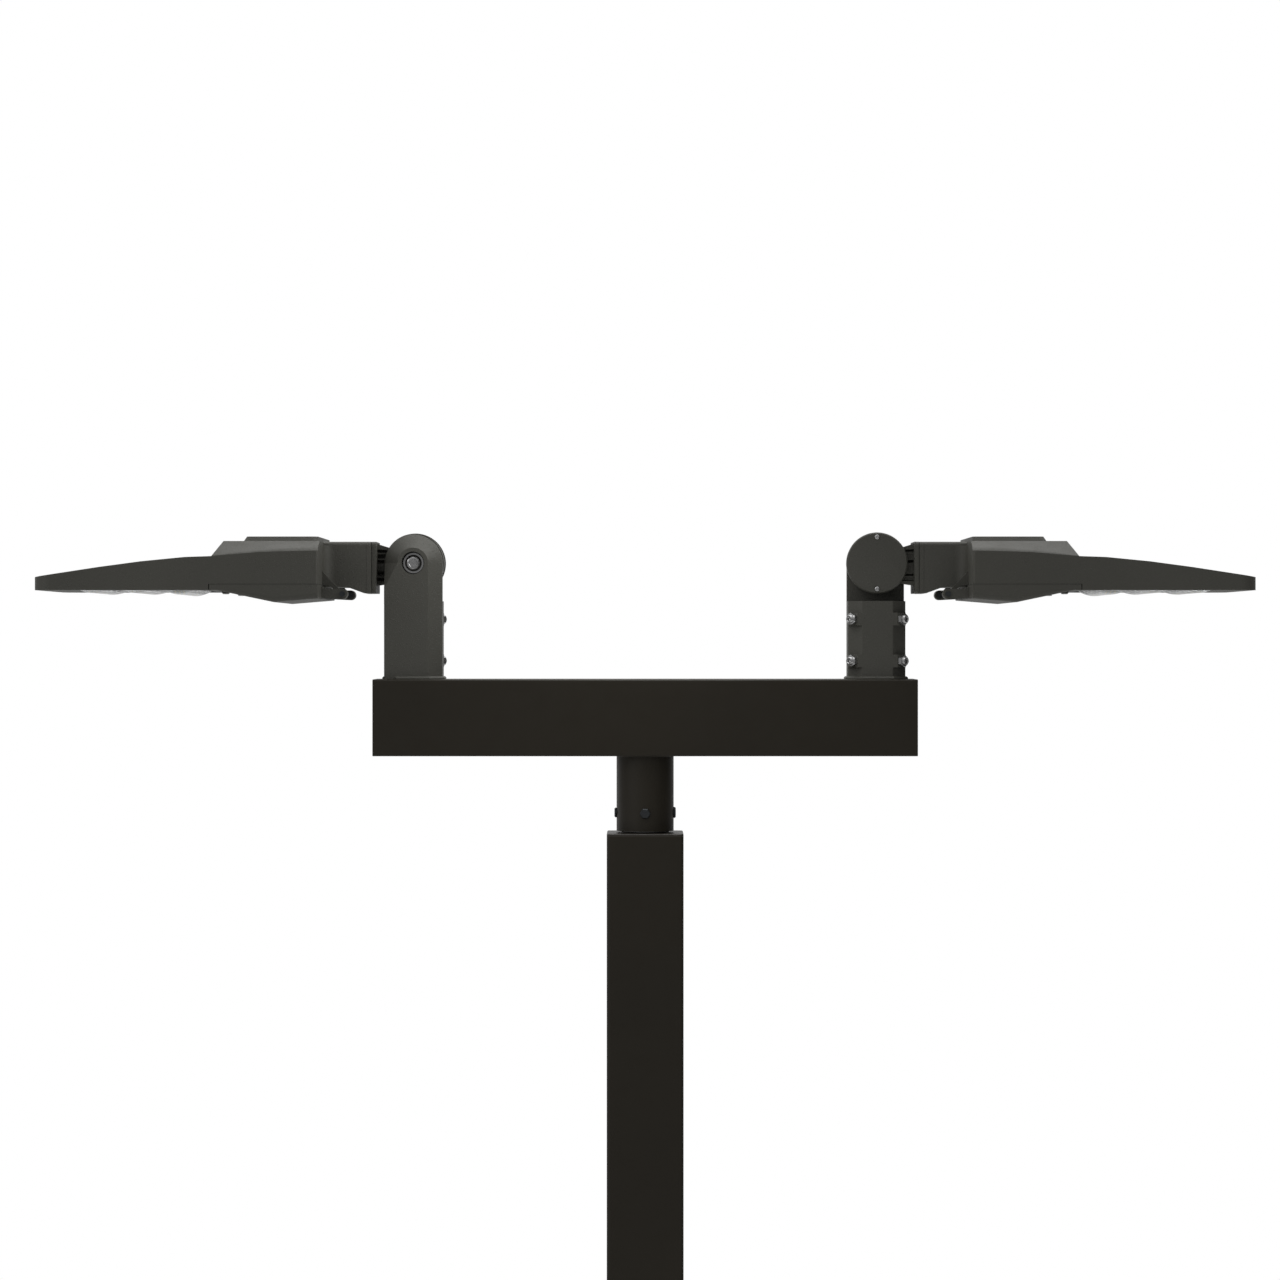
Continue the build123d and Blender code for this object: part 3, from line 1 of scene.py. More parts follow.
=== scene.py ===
"""The looks of the twin-head area light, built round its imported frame.

Materials, rounded edges, welds, fasteners, light engines, studio light and camera. Sizes are in metres,
except where a comment says millimetres; those are scaled by MM.
"""
import math
import random

import bmesh
import bpy
from mathutils import Matrix, Vector


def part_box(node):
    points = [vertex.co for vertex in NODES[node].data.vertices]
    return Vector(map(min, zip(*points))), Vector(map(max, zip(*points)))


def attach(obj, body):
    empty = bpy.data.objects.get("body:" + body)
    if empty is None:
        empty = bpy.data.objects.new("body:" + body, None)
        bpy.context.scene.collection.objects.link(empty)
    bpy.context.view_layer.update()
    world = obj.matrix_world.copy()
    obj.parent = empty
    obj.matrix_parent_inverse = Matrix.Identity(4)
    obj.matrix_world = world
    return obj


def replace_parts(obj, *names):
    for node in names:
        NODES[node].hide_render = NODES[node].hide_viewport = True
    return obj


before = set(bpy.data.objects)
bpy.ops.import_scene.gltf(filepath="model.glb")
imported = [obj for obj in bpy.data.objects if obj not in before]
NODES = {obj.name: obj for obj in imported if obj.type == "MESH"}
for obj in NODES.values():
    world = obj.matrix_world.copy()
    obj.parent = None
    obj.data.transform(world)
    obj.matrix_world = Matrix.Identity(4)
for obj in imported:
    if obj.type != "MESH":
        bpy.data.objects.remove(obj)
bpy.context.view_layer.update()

MM = 0.001
SIDE_OF = {"left": -1, "right": 1}
SCENE = bpy.context.scene

# ---- places read from the frame ----------------------------------------------------------------
ARM_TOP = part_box("crossarm_tube")[1].z
ARM_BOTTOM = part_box("crossarm_tube")[0].z
CAP_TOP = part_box("pole_cap")[1].z


def middle(node):
    """Centre of a CAD node's box."""
    low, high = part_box(node)
    return (low + high) / 2


# ---- camera ------------------------------------------------------------------------------------
CAMERA_DISTANCE = 5.029
CAMERA_RISE = 0.0521
CAMERA_SHIFT_LEFT = 0.00683
CAMERA_LENS_MM = 105.98
CAMERA_SENSOR_MM = 36.0
CAMERA_FAR = 200


def make_camera():
    data = bpy.data.cameras.new("camera")
    data.lens = CAMERA_LENS_MM
    data.sensor_width = CAMERA_SENSOR_MM
    data.clip_end = CAMERA_FAR
    camera = bpy.data.objects.new("camera", data)
    camera.location = (-CAMERA_SHIFT_LEFT, -CAMERA_DISTANCE, ARM_TOP + CAMERA_RISE)
    camera.rotation_euler = (math.pi / 2, 0, 0)
    SCENE.collection.objects.link(camera)
    SCENE.camera = camera


# ---- light -------------------------------------------------------------------------------------
# Level of the studio in every direction.
STUDIO_BASE = 0.05
# What is added along an axis, as (axis, where the rise starts, where it is full, level added).
STUDIO_GLOW = (
    ("Y", 0.35, 0.95, 0.50),
    ("X", 0.10, -0.90, 0.26),
    ("Z", -0.05, 0.95, 0.48),
    ("Z", -0.10, -0.90, 0.08),
    ("Y", -0.10, -0.95, 0.13),
)
# Area lights as (name, place, target, size, watts), with heights from the crossarm's top.
LIGHTS = (
    ("overhead", (0.35, 0.6, 2.6), (0, 0, 0), (3.2, 2.6), 44),
    ("front_left", (-3.2, -2.6, 1.4), (0, 0, 0), (1.6, 1.6), 12),
    ("between", (0.05, -0.22, 0.40), (-0.31, 0, 0.15), (0.25, 0.25), 1.1),
)


def make_world():
    """White to the camera; to the rest a soft studio, brightest behind and above, darkest on the right."""
    world = bpy.data.worlds.new("studio")
    SCENE.world = world
    world.use_nodes = True
    nodes, links = world.node_tree.nodes, world.node_tree.links
    nodes.clear()
    output = nodes.new("ShaderNodeOutputWorld")
    mix = nodes.new("ShaderNodeMixShader")
    path = nodes.new("ShaderNodeLightPath")
    white = nodes.new("ShaderNodeBackground")
    white.inputs["Color"].default_value = (1, 1, 1, 1)
    soft = nodes.new("ShaderNodeBackground")
    soft.inputs["Color"].default_value = (1, 1, 1, 1)
    split = nodes.new("ShaderNodeSeparateXYZ")
    links.new(nodes.new("ShaderNodeTexCoord").outputs["Generated"], split.inputs[0])
    level = None
    for axis, start, end, amount in STUDIO_GLOW:
        glow = nodes.new("ShaderNodeMapRange")
        glow.interpolation_type = "SMOOTHSTEP"
        for socket, value in (("From Min", start), ("From Max", end), ("To Min", 0.0), ("To Max", amount)):
            glow.inputs[socket].default_value = value
        links.new(split.outputs[axis], glow.inputs["Value"])
        add = nodes.new("ShaderNodeMath")
        links.new(glow.outputs["Result"], add.inputs[0])
        if level is None:
            add.inputs[1].default_value = STUDIO_BASE
        else:
            links.new(level, add.inputs[1])
        level = add.outputs[0]
    links.new(level, soft.inputs["Strength"])
    links.new(path.outputs["Is Camera Ray"], mix.inputs[0])
    links.new(soft.outputs[0], mix.inputs[1])
    links.new(white.outputs[0], mix.inputs[2])
    links.new(mix.outputs[0], output.inputs["Surface"])


def above_arm(place):
    """A place whose height is given from the crossarm's top."""
    return Vector((place[0], place[1], ARM_TOP + place[2]))


def make_lights():
    for name, place, target, size, watts in LIGHTS:
        data = bpy.data.lights.new(name, "AREA")
        data.shape = "RECTANGLE"
        data.size, data.size_y = size
        data.energy = watts
        light = bpy.data.objects.new(name, data)
        light.location = above_arm(place)
        light.rotation_euler = (above_arm(target) - above_arm(place)).to_track_quat("-Z", "Y").to_euler()
        light.visible_camera = False
        SCENE.collection.objects.link(light)


# ---- material helpers ---------------------------------------------------------------------------
# How far the normal turns at an edge for the painted edge highlight: where it starts and where it is full.
EDGE_TURN = (0.02, 0.25)
BEVEL_SAMPLES = 4


class Graph:
    """A material's node tree with short calls for adding and joining nodes."""

    def __init__(self, name):
        self.material = bpy.data.materials.new(name)
        self.material.use_nodes = True
        tree = self.material.node_tree
        self.nodes, self.links = tree.nodes, tree.links
        self.shader = self.nodes["Principled BSDF"]
        self.object_place = self.nodes.new("ShaderNodeTexCoord").outputs["Object"]

    def noise(self, scale, detail):
        node = self.nodes.new("ShaderNodeTexNoise")
        self.links.new(self.object_place, node.inputs["Vector"])
        node.inputs["Scale"].default_value = scale
        node.inputs["Detail"].default_value = detail
        return node.outputs["Fac"]

    def cells(self, scale, output="Distance"):
        node = self.nodes.new("ShaderNodeTexVoronoi")
        self.links.new(self.object_place, node.inputs["Vector"])
        node.inputs["Scale"].default_value = scale
        return node.outputs[output]

    def spread(self, value, low, high, to_low=0.0, to_high=1.0):
        """A value from one range taken to another, and held within it."""
        node = self.nodes.new("ShaderNodeMapRange")
        self.links.new(value, node.inputs["Value"])
        node.inputs["From Min"].default_value = low
        node.inputs["From Max"].default_value = high
        node.inputs["To Min"].default_value = to_low
        node.inputs["To Max"].default_value = to_high
        return node.outputs["Result"]

    def drift(self, scale, detail, to_low=0.0, to_high=1.0, low=0.3, high=0.7):
        """Noise that wanders between two values; low and high are the part of the noise that counts."""
        return self.spread(self.noise(scale, detail), low, high, to_low, to_high)

    def math(self, kind, first, second):
        node = self.nodes.new("ShaderNodeMath")
        node.operation = kind
        for index, value in enumerate((first, second)):
            if isinstance(value, (int, float)):
                node.inputs[index].default_value = value
            else:
                self.links.new(value, node.inputs[index])
        return node.outputs[0]

    def mix(self, factor, first, second):
        """A colour between two, each fixed or the output of a node."""
        node = self.nodes.new("ShaderNodeMix")
        node.data_type = "RGBA"
        self.links.new(factor, node.inputs["Factor"])
        for socket, value in ((node.inputs[6], first), (node.inputs[7], second)):
            if isinstance(value, tuple):
                socket.default_value = (*value, 1)
            else:
                self.links.new(value, socket)
        return node.outputs[2]

    def colour(self, value):
        self.links.new(value, self.shader.inputs["Base Color"])

    def roughness(self, value):
        self.links.new(value, self.shader.inputs["Roughness"])

    def bump(self, height, depth, strength, under=None):
        """Relief on the surface, over an earlier relief if one is given."""
        node = self.nodes.new("ShaderNodeBump")
        node.inputs["Strength"].default_value = strength
        node.inputs["Distance"].default_value = depth
        self.links.new(height, node.inputs["Height"])
        if under is not None:
            self.links.new(under, node.inputs["Normal"])
        self.links.new(node.outputs["Normal"], self.shader.inputs["Normal"])
        return node.outputs["Normal"]

    def edges(self, radius):
        """How close a point is to a convex or concave edge, from 0 to 1."""
        bevel = self.nodes.new("ShaderNodeBevel")
        bevel.samples = BEVEL_SAMPLES
        bevel.inputs["Radius"].default_value = radius
        plain = self.nodes.new("ShaderNodeNewGeometry").outputs["Normal"]
        dot = self.nodes.new("ShaderNodeVectorMath")
        dot.operation = "DOT_PRODUCT"
        self.links.new(bevel.outputs["Normal"], dot.inputs[0])
        self.links.new(plain, dot.inputs[1])
        return self.spread(self.math("SUBTRACT", 1.0, dot.outputs["Value"]), *EDGE_TURN)

    def set(self, **values):
        """Fixed values on the shader's own sockets, with _ for a space."""
        for name, value in values.items():
            self.shader.inputs[name.replace("_", " ")].default_value = value


def scaled(colour, factor):
    return tuple(channel * factor for channel in colour)


# ---- materials ----------------------------------------------------------------------------------
# The first two set the painted edge highlight: its reach, and how much lighter it makes the colour.
EDGE_HIGHLIGHT_REACH = 0.0009
EDGE_HIGHLIGHT_LIGHTER = 1.9
# How much lighter the painted glints are than the paint.
GLINT_LIGHTER = 2.4


def powder_coat(name, colour, rough, grain, depth, grains_and_glints=0.0, ior=1.45):
    """Baked powder paint: fine orange peel, faint clouding, and a painted highlight that makes edges slightly
    lighter in patches.

    With fleck above 0 it covers a rough casting with raised grains all over, and paints pale specks in
    patches: painted glints of light on the grains.
    """
    g = Graph(name)
    cloud = g.drift(5.0, 3.0, low=0.35, high=0.65)
    shade = g.mix(cloud, scaled(colour, 0.94), scaled(colour, 1.06))
    # Pale specks painted into the colour, in patches, are painted glints of light. The raised grains further
    # down are real relief.
    if grains_and_glints:
        glint_dots = g.spread(g.cells(760.0), 0.16, 0.06)
        patches = g.drift(210.0, 1.0, low=0.52, high=0.66)
        amount = g.math("MULTIPLY", g.math("MULTIPLY", glint_dots, patches), grains_and_glints)
        shade = g.mix(amount, shade, scaled(colour, GLINT_LIGHTER))
    # Painted highlight: edges made lighter in patches, where light would catch them.
    painted_edge_highlight = g.math("MULTIPLY", g.edges(EDGE_HIGHLIGHT_REACH), g.drift(60.0, 3.0, 0.0, 0.35, low=0.45, high=0.75))
    g.colour(g.mix(painted_edge_highlight, shade, scaled(colour, EDGE_HIGHLIGHT_LIGHTER)))
    g.roughness(g.drift(38.0, 2.0, rough - 0.04, rough + 0.05))
    peel = g.math("ADD", g.noise(grain, 2.0), g.math("MULTIPLY", g.noise(grain * 0.22, 1.0), 0.6))
    fine = g.bump(peel, depth, 0.55)
    if grains_and_glints:
        g.bump(g.spread(g.cells(470.0), 0.34, 0.08), depth * 3.2, 0.75, under=fine)
    g.set(IOR=ior)
    return g.material


def bright_zinc(name, colour, rough):
    """Plated steel with a fine grain and a little clouding."""
    g = Graph(name)
    g.colour(g.mix(g.drift(90.0, 3.0, low=0.35), scaled(colour, 0.86), colour))
    g.roughness(g.drift(420.0, 2.0, rough - 0.05, rough + 0.08))
    g.bump(g.noise(2600.0, 2.0), 0.00003, 0.5)
    g.set(Metallic=1.0)
    return g.material


def galvanised(name):
    """Hot-dip zinc with spangle."""
    g = Graph(name)
    spangle = g.nodes.new("ShaderNodeRGBToBW")
    g.links.new(g.cells(85.0, output="Color"), spangle.inputs[0])
    tone = spangle.outputs[0]
    g.colour(g.mix(g.spread(tone, 0.1, 0.9), (0.42, 0.43, 0.44), (0.60, 0.61, 0.62)))
    g.roughness(g.spread(tone, 0.0, 1.0, 0.34, 0.52))
    g.bump(g.noise(140.0, 3.0), 0.0002, 0.5)
    g.set(Metallic=0.9)
    return g.material


def rubber(name):
    """Dull black seal rubber."""
    g = Graph(name)
    g.colour(g.mix(g.drift(50.0, 3.0), (0.012, 0.012, 0.012), (0.022, 0.022, 0.021)))
    g.roughness(g.drift(240.0, 2.0, 0.62, 0.78))
    g.bump(g.noise(1400.0, 3.0), 0.00008, 0.6)
    return g.material


def moulded(name, colour, rough):
    """Moulded plastic with a fine spark-eroded texture."""
    g = Graph(name)
    g.colour(g.mix(g.drift(30.0, 3.0), scaled(colour, 0.93), colour))
    g.roughness(g.drift(300.0, 2.0, rough - 0.05, rough + 0.06))
    g.bump(g.noise(1900.0, 2.0), 0.00005, 0.5)
    return g.material


def lens_plastic(name):
    """Clear moulded polycarbonate with faint flow marks."""
    g = Graph(name)
    g.colour(g.mix(g.drift(18.0, 2.0), (0.93, 0.95, 0.96), (0.99, 0.99, 0.99)))
    g.roughness(g.drift(70.0, 2.0, 0.05, 0.11))
    g.bump(g.noise(120.0, 2.0), 0.00025, 0.35)
    g.set(Transmission_Weight=0.92, IOR=1.58)
    return g.material


def circuit_board(name):
    """White solder mask with copper tracks just showing through."""
    g = Graph(name)
    tracks = g.nodes.new("ShaderNodeTexBrick")
    g.links.new(g.object_place, tracks.inputs["Vector"])
    tracks.inputs["Scale"].default_value = 36.0
    tracks.inputs["Mortar Size"].default_value = 0.012
    tracks.inputs["Color1"].default_value = (0.80, 0.81, 0.79, 1)
    tracks.inputs["Color2"].default_value = (0.76, 0.77, 0.75, 1)
    tracks.inputs["Mortar"].default_value = (0.62, 0.60, 0.52, 1)
    g.colour(tracks.outputs["Color"])
    g.roughness(g.drift(200.0, 2.0, 0.30, 0.42))
    g.bump(tracks.outputs["Fac"], 0.00008, 0.5)
    return g.material


def phosphor(name):
    """The yellow coat of an LED under clear resin."""
    g = Graph(name)
    g.colour(g.mix(g.drift(800.0, 2.0), (0.80, 0.62, 0.10), (0.90, 0.74, 0.18)))
    g.roughness(g.drift(900.0, 1.0, 0.18, 0.28))
    g.set(Coat_Weight=0.6, Coat_Roughness=0.08)
    return g.material


def studio_floor(name):
    """Pale matt floor."""
    g = Graph(name)
    g.colour(g.mix(g.drift(1.5, 4.0), (0.78, 0.78, 0.77), (0.82, 0.82, 0.81)))
    g.roughness(g.drift(9.0, 2.0, 0.55, 0.7))
    return g.material


POLE_COLOUR = (0.0190, 0.0150, 0.0085)
CAP_COLOUR = (0.032, 0.027, 0.021)
HEAD_COLOUR = (0.073, 0.0715, 0.0605)

MATERIALS = {
    "pole_paint": powder_coat("pole_paint_look", POLE_COLOUR, rough=0.50, grain=900.0, depth=0.00006,
                              ior=1.40),
    "cap_paint": powder_coat("cap_paint_look", CAP_COLOUR, rough=0.42, grain=900.0, depth=0.00006),
    "head_paint": powder_coat("head_paint_look", HEAD_COLOUR, rough=0.52, grain=1250.0, depth=0.00014,
                              grains_and_glints=0.55),
    "bare_steel": bright_zinc("bare_steel_look", (0.50, 0.50, 0.50), rough=0.36),
    "galvanised": galvanised("galvanised_look"),
    "bolt_steel": bright_zinc("bolt_steel_look", (0.60, 0.60, 0.60), rough=0.25),
    "dark_bolt": bright_zinc("dark_bolt_look", (0.075, 0.080, 0.085), rough=0.42),
    "seal_rubber": rubber("seal_rubber_look"),
    "frame_black": moulded("frame_black_look", (0.02, 0.02, 0.02), rough=0.45),
    "clear_lens": lens_plastic("clear_lens_look"),
    "board_white": circuit_board("board_white_look"),
    "driver_case": bright_zinc("driver_case_look", (0.62, 0.62, 0.62), rough=0.40),
    "device_plastic": moulded("device_plastic_look", (0.03, 0.03, 0.034), rough=0.42),
    "phosphor": phosphor("phosphor_look"),
    "label": moulded("label_look", (0.80, 0.80, 0.78), rough=0.40),
}


# ---- CAD nodes: materials and rounded edges ------------------------------------------------------
# Width of the rounding in millimetres, by a node's name without its side. Other nodes stay as they are.
EDGE_ROUND = {
    "slipfitter": 0.7,
    "knuckle_arm": 0.5,
    "head_housing": 0.8,
    "driver_door": 0.8,
    "lens_frame": 0.3,
    "led_driver": 0.8,
    "surge_protector": 0.6,
    "arm_gasket": 0.2,
    "base_plate": 0.8,
    "handhole_bar": 0.6,
    "handhole_rim": 0.6,
    "crossarm_end_caps": 0.4,
    "bracket_bolts": 0.25,
}
ROUND_ANGLE = math.radians(32)
ROUND_SEGMENTS = 2
NORMAL_WEIGHT = 60
JOIN_DISTANCE = 0.000005


def dress_nodes():
    """Every CAD node takes its slot's material and, where its edges are sharp, a small rounding."""
    for name, node in NODES.items():
        slot = node.material_slots[0].material.name.split(".")[0]
        for holder in node.material_slots:
            holder.material = MATERIALS[slot]
        piece = name.removeprefix("left_").removeprefix("right_")
        if piece in EDGE_ROUND:
            round_edges(node, EDGE_ROUND[piece] * MM)


def round_edges(piece, width):
    weld = piece.modifiers.new("join", "WELD")
    weld.merge_threshold = JOIN_DISTANCE
    bevel = piece.modifiers.new("round", "BEVEL")
    bevel.width = width
    bevel.segments = ROUND_SEGMENTS
    bevel.limit_method = "ANGLE"
    bevel.angle_limit = ROUND_ANGLE
    bevel.use_clamp_overlap = True
    bevel.miter_outer = "MITER_ARC"
    soft = piece.modifiers.new("normals", "WEIGHTED_NORMAL")
    soft.mode = "FACE_AREA"
    soft.weight = NORMAL_WEIGHT
    soft.keep_sharp = True


# ---- mesh helpers -------------------------------------------------------------------------------
SMOOTH_ANGLE = math.radians(34)
TAN_30 = math.tan(math.radians(30))


def finished(name, mesh_data, material, body, smooth=True):
    """Turn a bmesh into a piece that rides on a body."""
    mesh = bpy.data.meshes.new(name)
    bmesh.ops.recalc_face_normals(mesh_data, faces=mesh_data.faces)
    mesh_data.to_mesh(mesh)
    mesh_data.free()
    piece = bpy.data.objects.new(name, mesh)
    SCENE.collection.objects.link(piece)
    mesh.materials.append(MATERIALS[material])
    if smooth:
        mesh.shade_smooth()
        mesh.set_sharp_from_angle(angle=SMOOTH_ANGLE)
    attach(piece, body)
    return piece


def joined_mesh(node):
    """A copy of a CAD node's mesh with its doubled points joined."""
    data = bmesh.new()
    data.from_mesh(NODES[node].data)
    bmesh.ops.remove_doubles(data, verts=data.verts, dist=JOIN_DISTANCE)
    return data


def box_of(points):
    """Low and high corner of some points."""
    low = Vector([min(point[axis] for point in points) for axis in range(3)])
    high = Vector([max(point[axis] for point in points) for axis in range(3)])
    return low, high


def centre_of(points):
    return sum(points, Vector()) / len(points)


def by_place(place):
    """A sorting key that isn't disturbed by a place's last digits."""
    return tuple(round(coordinate, 4) for coordinate in place)


def islands(node):
    """The corner points of each separate solid of a CAD node."""
    data = joined_mesh(node)
    left = set(data.verts)
    groups = []
    for start in data.verts:
        if start not in left:
            continue
        left.remove(start)
        queue = [start]
        group = []
        while queue:
            vertex = queue.pop()
            group.append(vertex.co.copy())
            for edge in vertex.link_edges:
                other = edge.other_vert(vertex)
                if other in left:
                    left.remove(other)
                    queue.append(other)
        groups.append(group)
    data.free()
    return sorted(groups, key=lambda points: by_place(centre_of(points)))


def reach(points, direction):
    """Nearest and farthest level of a solid along a unit direction, and its axis at level 0."""
    levels = [point.dot(direction) for point in points]
    low, high = box_of(points)
    centre = (low + high) / 2
    return min(levels), max(levels), centre - direction * centre.dot(direction)


def standing(origin, direction):
    """A matrix whose Z runs along a direction from an origin."""
    turn = Vector(direction).to_track_quat("Z", "Y").to_matrix().to_4x4()
    return Matrix.Translation(origin) @ turn


def hex_radius(angle, across):
    """Distance from a hexagon's centre to its rim."""
    sixth = math.pi / 3
    return across / 2 / math.cos((angle + sixth / 2) % sixth - sixth / 2)


def round_ring(radius, height):
    return lambda angle: (radius, height)


def hex_ring(across, height, slope=0.0, circle=0.0):
    """A hexagonal ring that falls away outside a circle, as a chamfered nut's corner does."""
    return lambda angle: (hex_radius(angle, across), height - slope * (hex_radius(angle, across) - circle))


def lathe(data, rings, matrix, segments=48, closed=False):
    """Skin a list of rings, each a function of the angle or a height on the axis, in millimetres."""
    rows = []
    for ring in rings:
        if isinstance(ring, (int, float)):
            rows.append([data.verts.new(matrix @ Vector((0, 0, ring * MM)))])
            continue
        row = []
        for index in range(segments):
            angle = 2 * math.pi * index / segments
            radius, height = ring(angle)
            point = Vector((radius * math.cos(angle), radius * math.sin(angle), height)) * MM
            row.append(data.verts.new(matrix @ point))
        rows.append(row)
    pairs = list(zip(rows, rows[1:]))
    if closed:
        pairs.append((rows[-1], rows[0]))
    for low, high in pairs:
        for index in range(segments):
            after = (index + 1) % segments
            if len(low) == 1:
                data.faces.new((low[0], high[index], high[after]))
            elif len(high) == 1:
                data.faces.new((low[index], low[after], high[0]))
            else:
                data.faces.new((low[index], low[after], high[after], high[index]))


# ---- shapes of fasteners, in millimetres --------------------------------------------------------
def nut(data, matrix, across, height, bore):
    """A hexagonal nut, chamfered on both faces and at both ends of its bore, whose radius is given."""
    circle = across / 2 * 0.985
    chamfer = 0.45
    rings = [
        round_ring(bore + chamfer, 0),
        round_ring(circle, 0),
        hex_ring(across, 0, -TAN_30, circle),
        hex_ring(across, height, TAN_30, circle),
        round_ring(circle, height),
        round_ring(bore + chamfer, height),
        round_ring(bore, height - chamfer),
        round_ring(bore, chamfer),
    ]
    lathe(data, rings, matrix, closed=True)


def thread_rings(radius, low, high, pitch, depth):
    """Rings of a threaded shank, four to each pitch."""
    rings = []
    steps = max(1, int((high - low) / pitch * 4))
    for index in range(steps + 1):
        height = low + (high - low) * index / steps

        def ring(angle, height=height):
            phase = (height / pitch - angle / (2 * math.pi)) % 1.0
            return radius - depth * abs(2 * phase - 1), height
        rings.append(ring)
    return rings


def socket_screw(data, matrix, radius, length, socket):
    """A headless screw that stands on 0, threaded near its outer end, with a hexagonal socket there."""
    pitch = 1.5
    thread_depth = 0.75
    threaded = 14
    start = max(0.0, length - threaded)
    core = radius * 0.86
    rings = [0.0, round_ring(radius * 0.55, 0.0), round_ring(core, 1.0), round_ring(core, start)]
    rings += thread_rings(radius, start + 0.2, length - 0.9, pitch, thread_depth)
    rings += [
        round_ring(radius * 0.82, length),
        round_ring(socket * 0.64, length),
        round_ring(socket * 0.60, length - 0.25),
        hex_ring(socket, length - 0.5),
        hex_ring(socket, length - 4.0),
        round_ring(socket * 0.25, length - 4.6),
        length - 4.9,
    ]
    lathe(data, rings, matrix)


def crossed_head(data, matrix, radius, height, shank, depth_below):
    """A pan head with a cross recess, on a plain shank that goes down from its seat at 0."""
    dome = 0.35
    slot_half = radius * 0.16
    slot_reach = radius * 0.62

    def top(level):
        def ring(angle):
            distance = radius * level
            across = abs(distance * math.cos(angle))
            along = abs(distance * math.sin(angle))
            rise = height - height * dome * level ** 2.6
            near, far = min(across, along), max(across, along)
            if near < slot_half and far < slot_reach:
                rise -= height * 0.75 * (1 - 0.55 * far / slot_reach)
            return distance, rise
        return ring

    levels = 16
    rings = [
        -depth_below,
        round_ring(shank, -depth_below),
        round_ring(shank, 0),
        round_ring(radius * 0.97, 0),
        round_ring(radius, height * 0.12),
        round_ring(radius, height * (1 - dome) * 0.92),
    ]
    rings += [top(level / levels) for level in range(levels - 1, 0, -1)]
    rings.append(height * 0.25)
    lathe(data, rings, matrix, segments=64)


def hex_flange_head(data, matrix, flange, flange_height, across, height, shank, depth_below):
    """A hexagon head with a sloping flange, a chamfered top and a shallow dish, seated at 0."""
    circle = across / 2 * 0.97
    top = flange_height + height
    rings = [
        -depth_below,
        round_ring(shank, -depth_below),
        round_ring(shank, 0),
        round_ring(flange * 0.985, 0),
        round_ring(flange, 0.25),
        round_ring(flange, flange_height * 0.45),
        round_ring(flange * 0.97, flange_height * 0.6),
        round_ring(across / 2 * 1.19, flange_height),
        hex_ring(across, flange_height + 0.3),
        hex_ring(across, top, TAN_30, circle),
        round_ring(circle * 0.985, top),
        round_ring(circle * 0.80, top),
        round_ring(circle * 0.74, top - 0.35),
        top - 0.45,
    ]
    lathe(data, rings, matrix, segments=72)


# ---- fasteners ----------------------------------------------------------------------------------
# All in millimetres.
JAM_NUT_ACROSS = 14.3
JAM_NUT_BORE = 4.8
SET_SCREW_RADIUS = 5.4
SET_SCREW_SOCKET = 5.0
# Head radius, head height and shank radius.
COVER_SCREW = (3.1, 1.8, 1.9)
DOOR_SCREW = (4.5, 1.9, 2.4)
BASE_COVER_SCREW = (4.8, 2.0, 2.3)
# Flange radius and height, hexagon across flats and height, shank radius.
KNUCKLE_BOLT = (11.0, 2.6, 14.6, 7.0, 6.3)
HANDHOLE_SCREW = (5.5, 0.9, 8.6, 2.91, 3.1)


def remake(node, name, body, outward, draw):
    """Draw each solid of a node of fasteners anew, facing outward, and let the result stand for the node."""
    data = bmesh.new()
    for points in islands(node):
        out = outward(points)
        low, high, axis = reach(points, out)
        draw(data, axis, out, low, high)
    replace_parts(finished(name, data, "bolt_steel", body), node)


def jam_nut(data, axis, out, low, high):
    nut(data, standing(axis + out * low, out), JAM_NUT_ACROSS, (high - low) / MM, JAM_NUT_BORE)


def set_screw(data, axis, out, low, high):
    socket_screw(data, standing(axis + out * low, out), SET_SCREW_RADIUS, (high - low) / MM, SET_SCREW_SOCKET)


def crossed(sizes):
    """What draws a crossed screw of given sizes."""
    radius, height, shank = sizes

    def draw(data, axis, out, low, high):
        seat = axis + out * (high - height * MM)
        crossed_head(data, standing(seat, out), radius, height, shank, (high - low) / MM - height)
    return draw


def flanged(sizes):
    """What draws a hexagon flange bolt of given sizes."""
    flange, flange_height, across, height, shank = sizes
    head = flange_height + height

    def draw(data, axis, out, low, high):
        seat = axis + out * (high - head * MM)
        below = (high - low) / MM - head
        hex_flange_head(data, standing(seat, out), flange, flange_height, across, height, shank, below)
    return draw


def facing(direction):
    return lambda points: Vector(direction)


def facing_away_from(x):
    """Level, and away from an upright line over the X axis."""
    def outward(points):
        spot = centre_of(points)
        return Vector((spot.x - x, spot.y, 0)).normalized()
    return outward


def facing_front_or_rear(points):
    return Vector((0, 1 if sum(point.y for point in points) > 0 else -1, 0))


def make_head_fasteners(end):
    side = SIDE_OF[end]
    fitter = f"{end}_fitter"
    outward = facing_away_from(middle(f"{end}_slipfitter").x)
    remake(f"{end}_jam_nuts", f"{end}_chamfered_jam_nuts", fitter, outward, jam_nut)
    remake(f"{end}_set_screws", f"{end}_socket_set_screws", fitter, outward, set_screw)
    remake(f"{end}_knuckle_bolt", f"{end}_flange_bolt", fitter, facing((0, side, 0)), flanged(KNUCKLE_BOLT))
    remake(f"{end}_cover_screws", f"{end}_crossed_cover_screws", f"{end}_head", facing((0, -side, 0)),
           crossed(COVER_SCREW))
    remake(f"{end}_door_screws", f"{end}_crossed_door_screws", f"{end}_door", facing((0, 0, -1)),
           crossed(DOOR_SCREW))


def make_pole_fasteners():
    remake("base_cover_screws", "crossed_base_cover_screws", "pole", facing_front_or_rear,
           crossed(BASE_COVER_SCREW))
    remake("handhole_screws", "flanged_handhole_screws", "pole", facing((0, 1, 0)), flanged(HANDHOLE_SCREW))


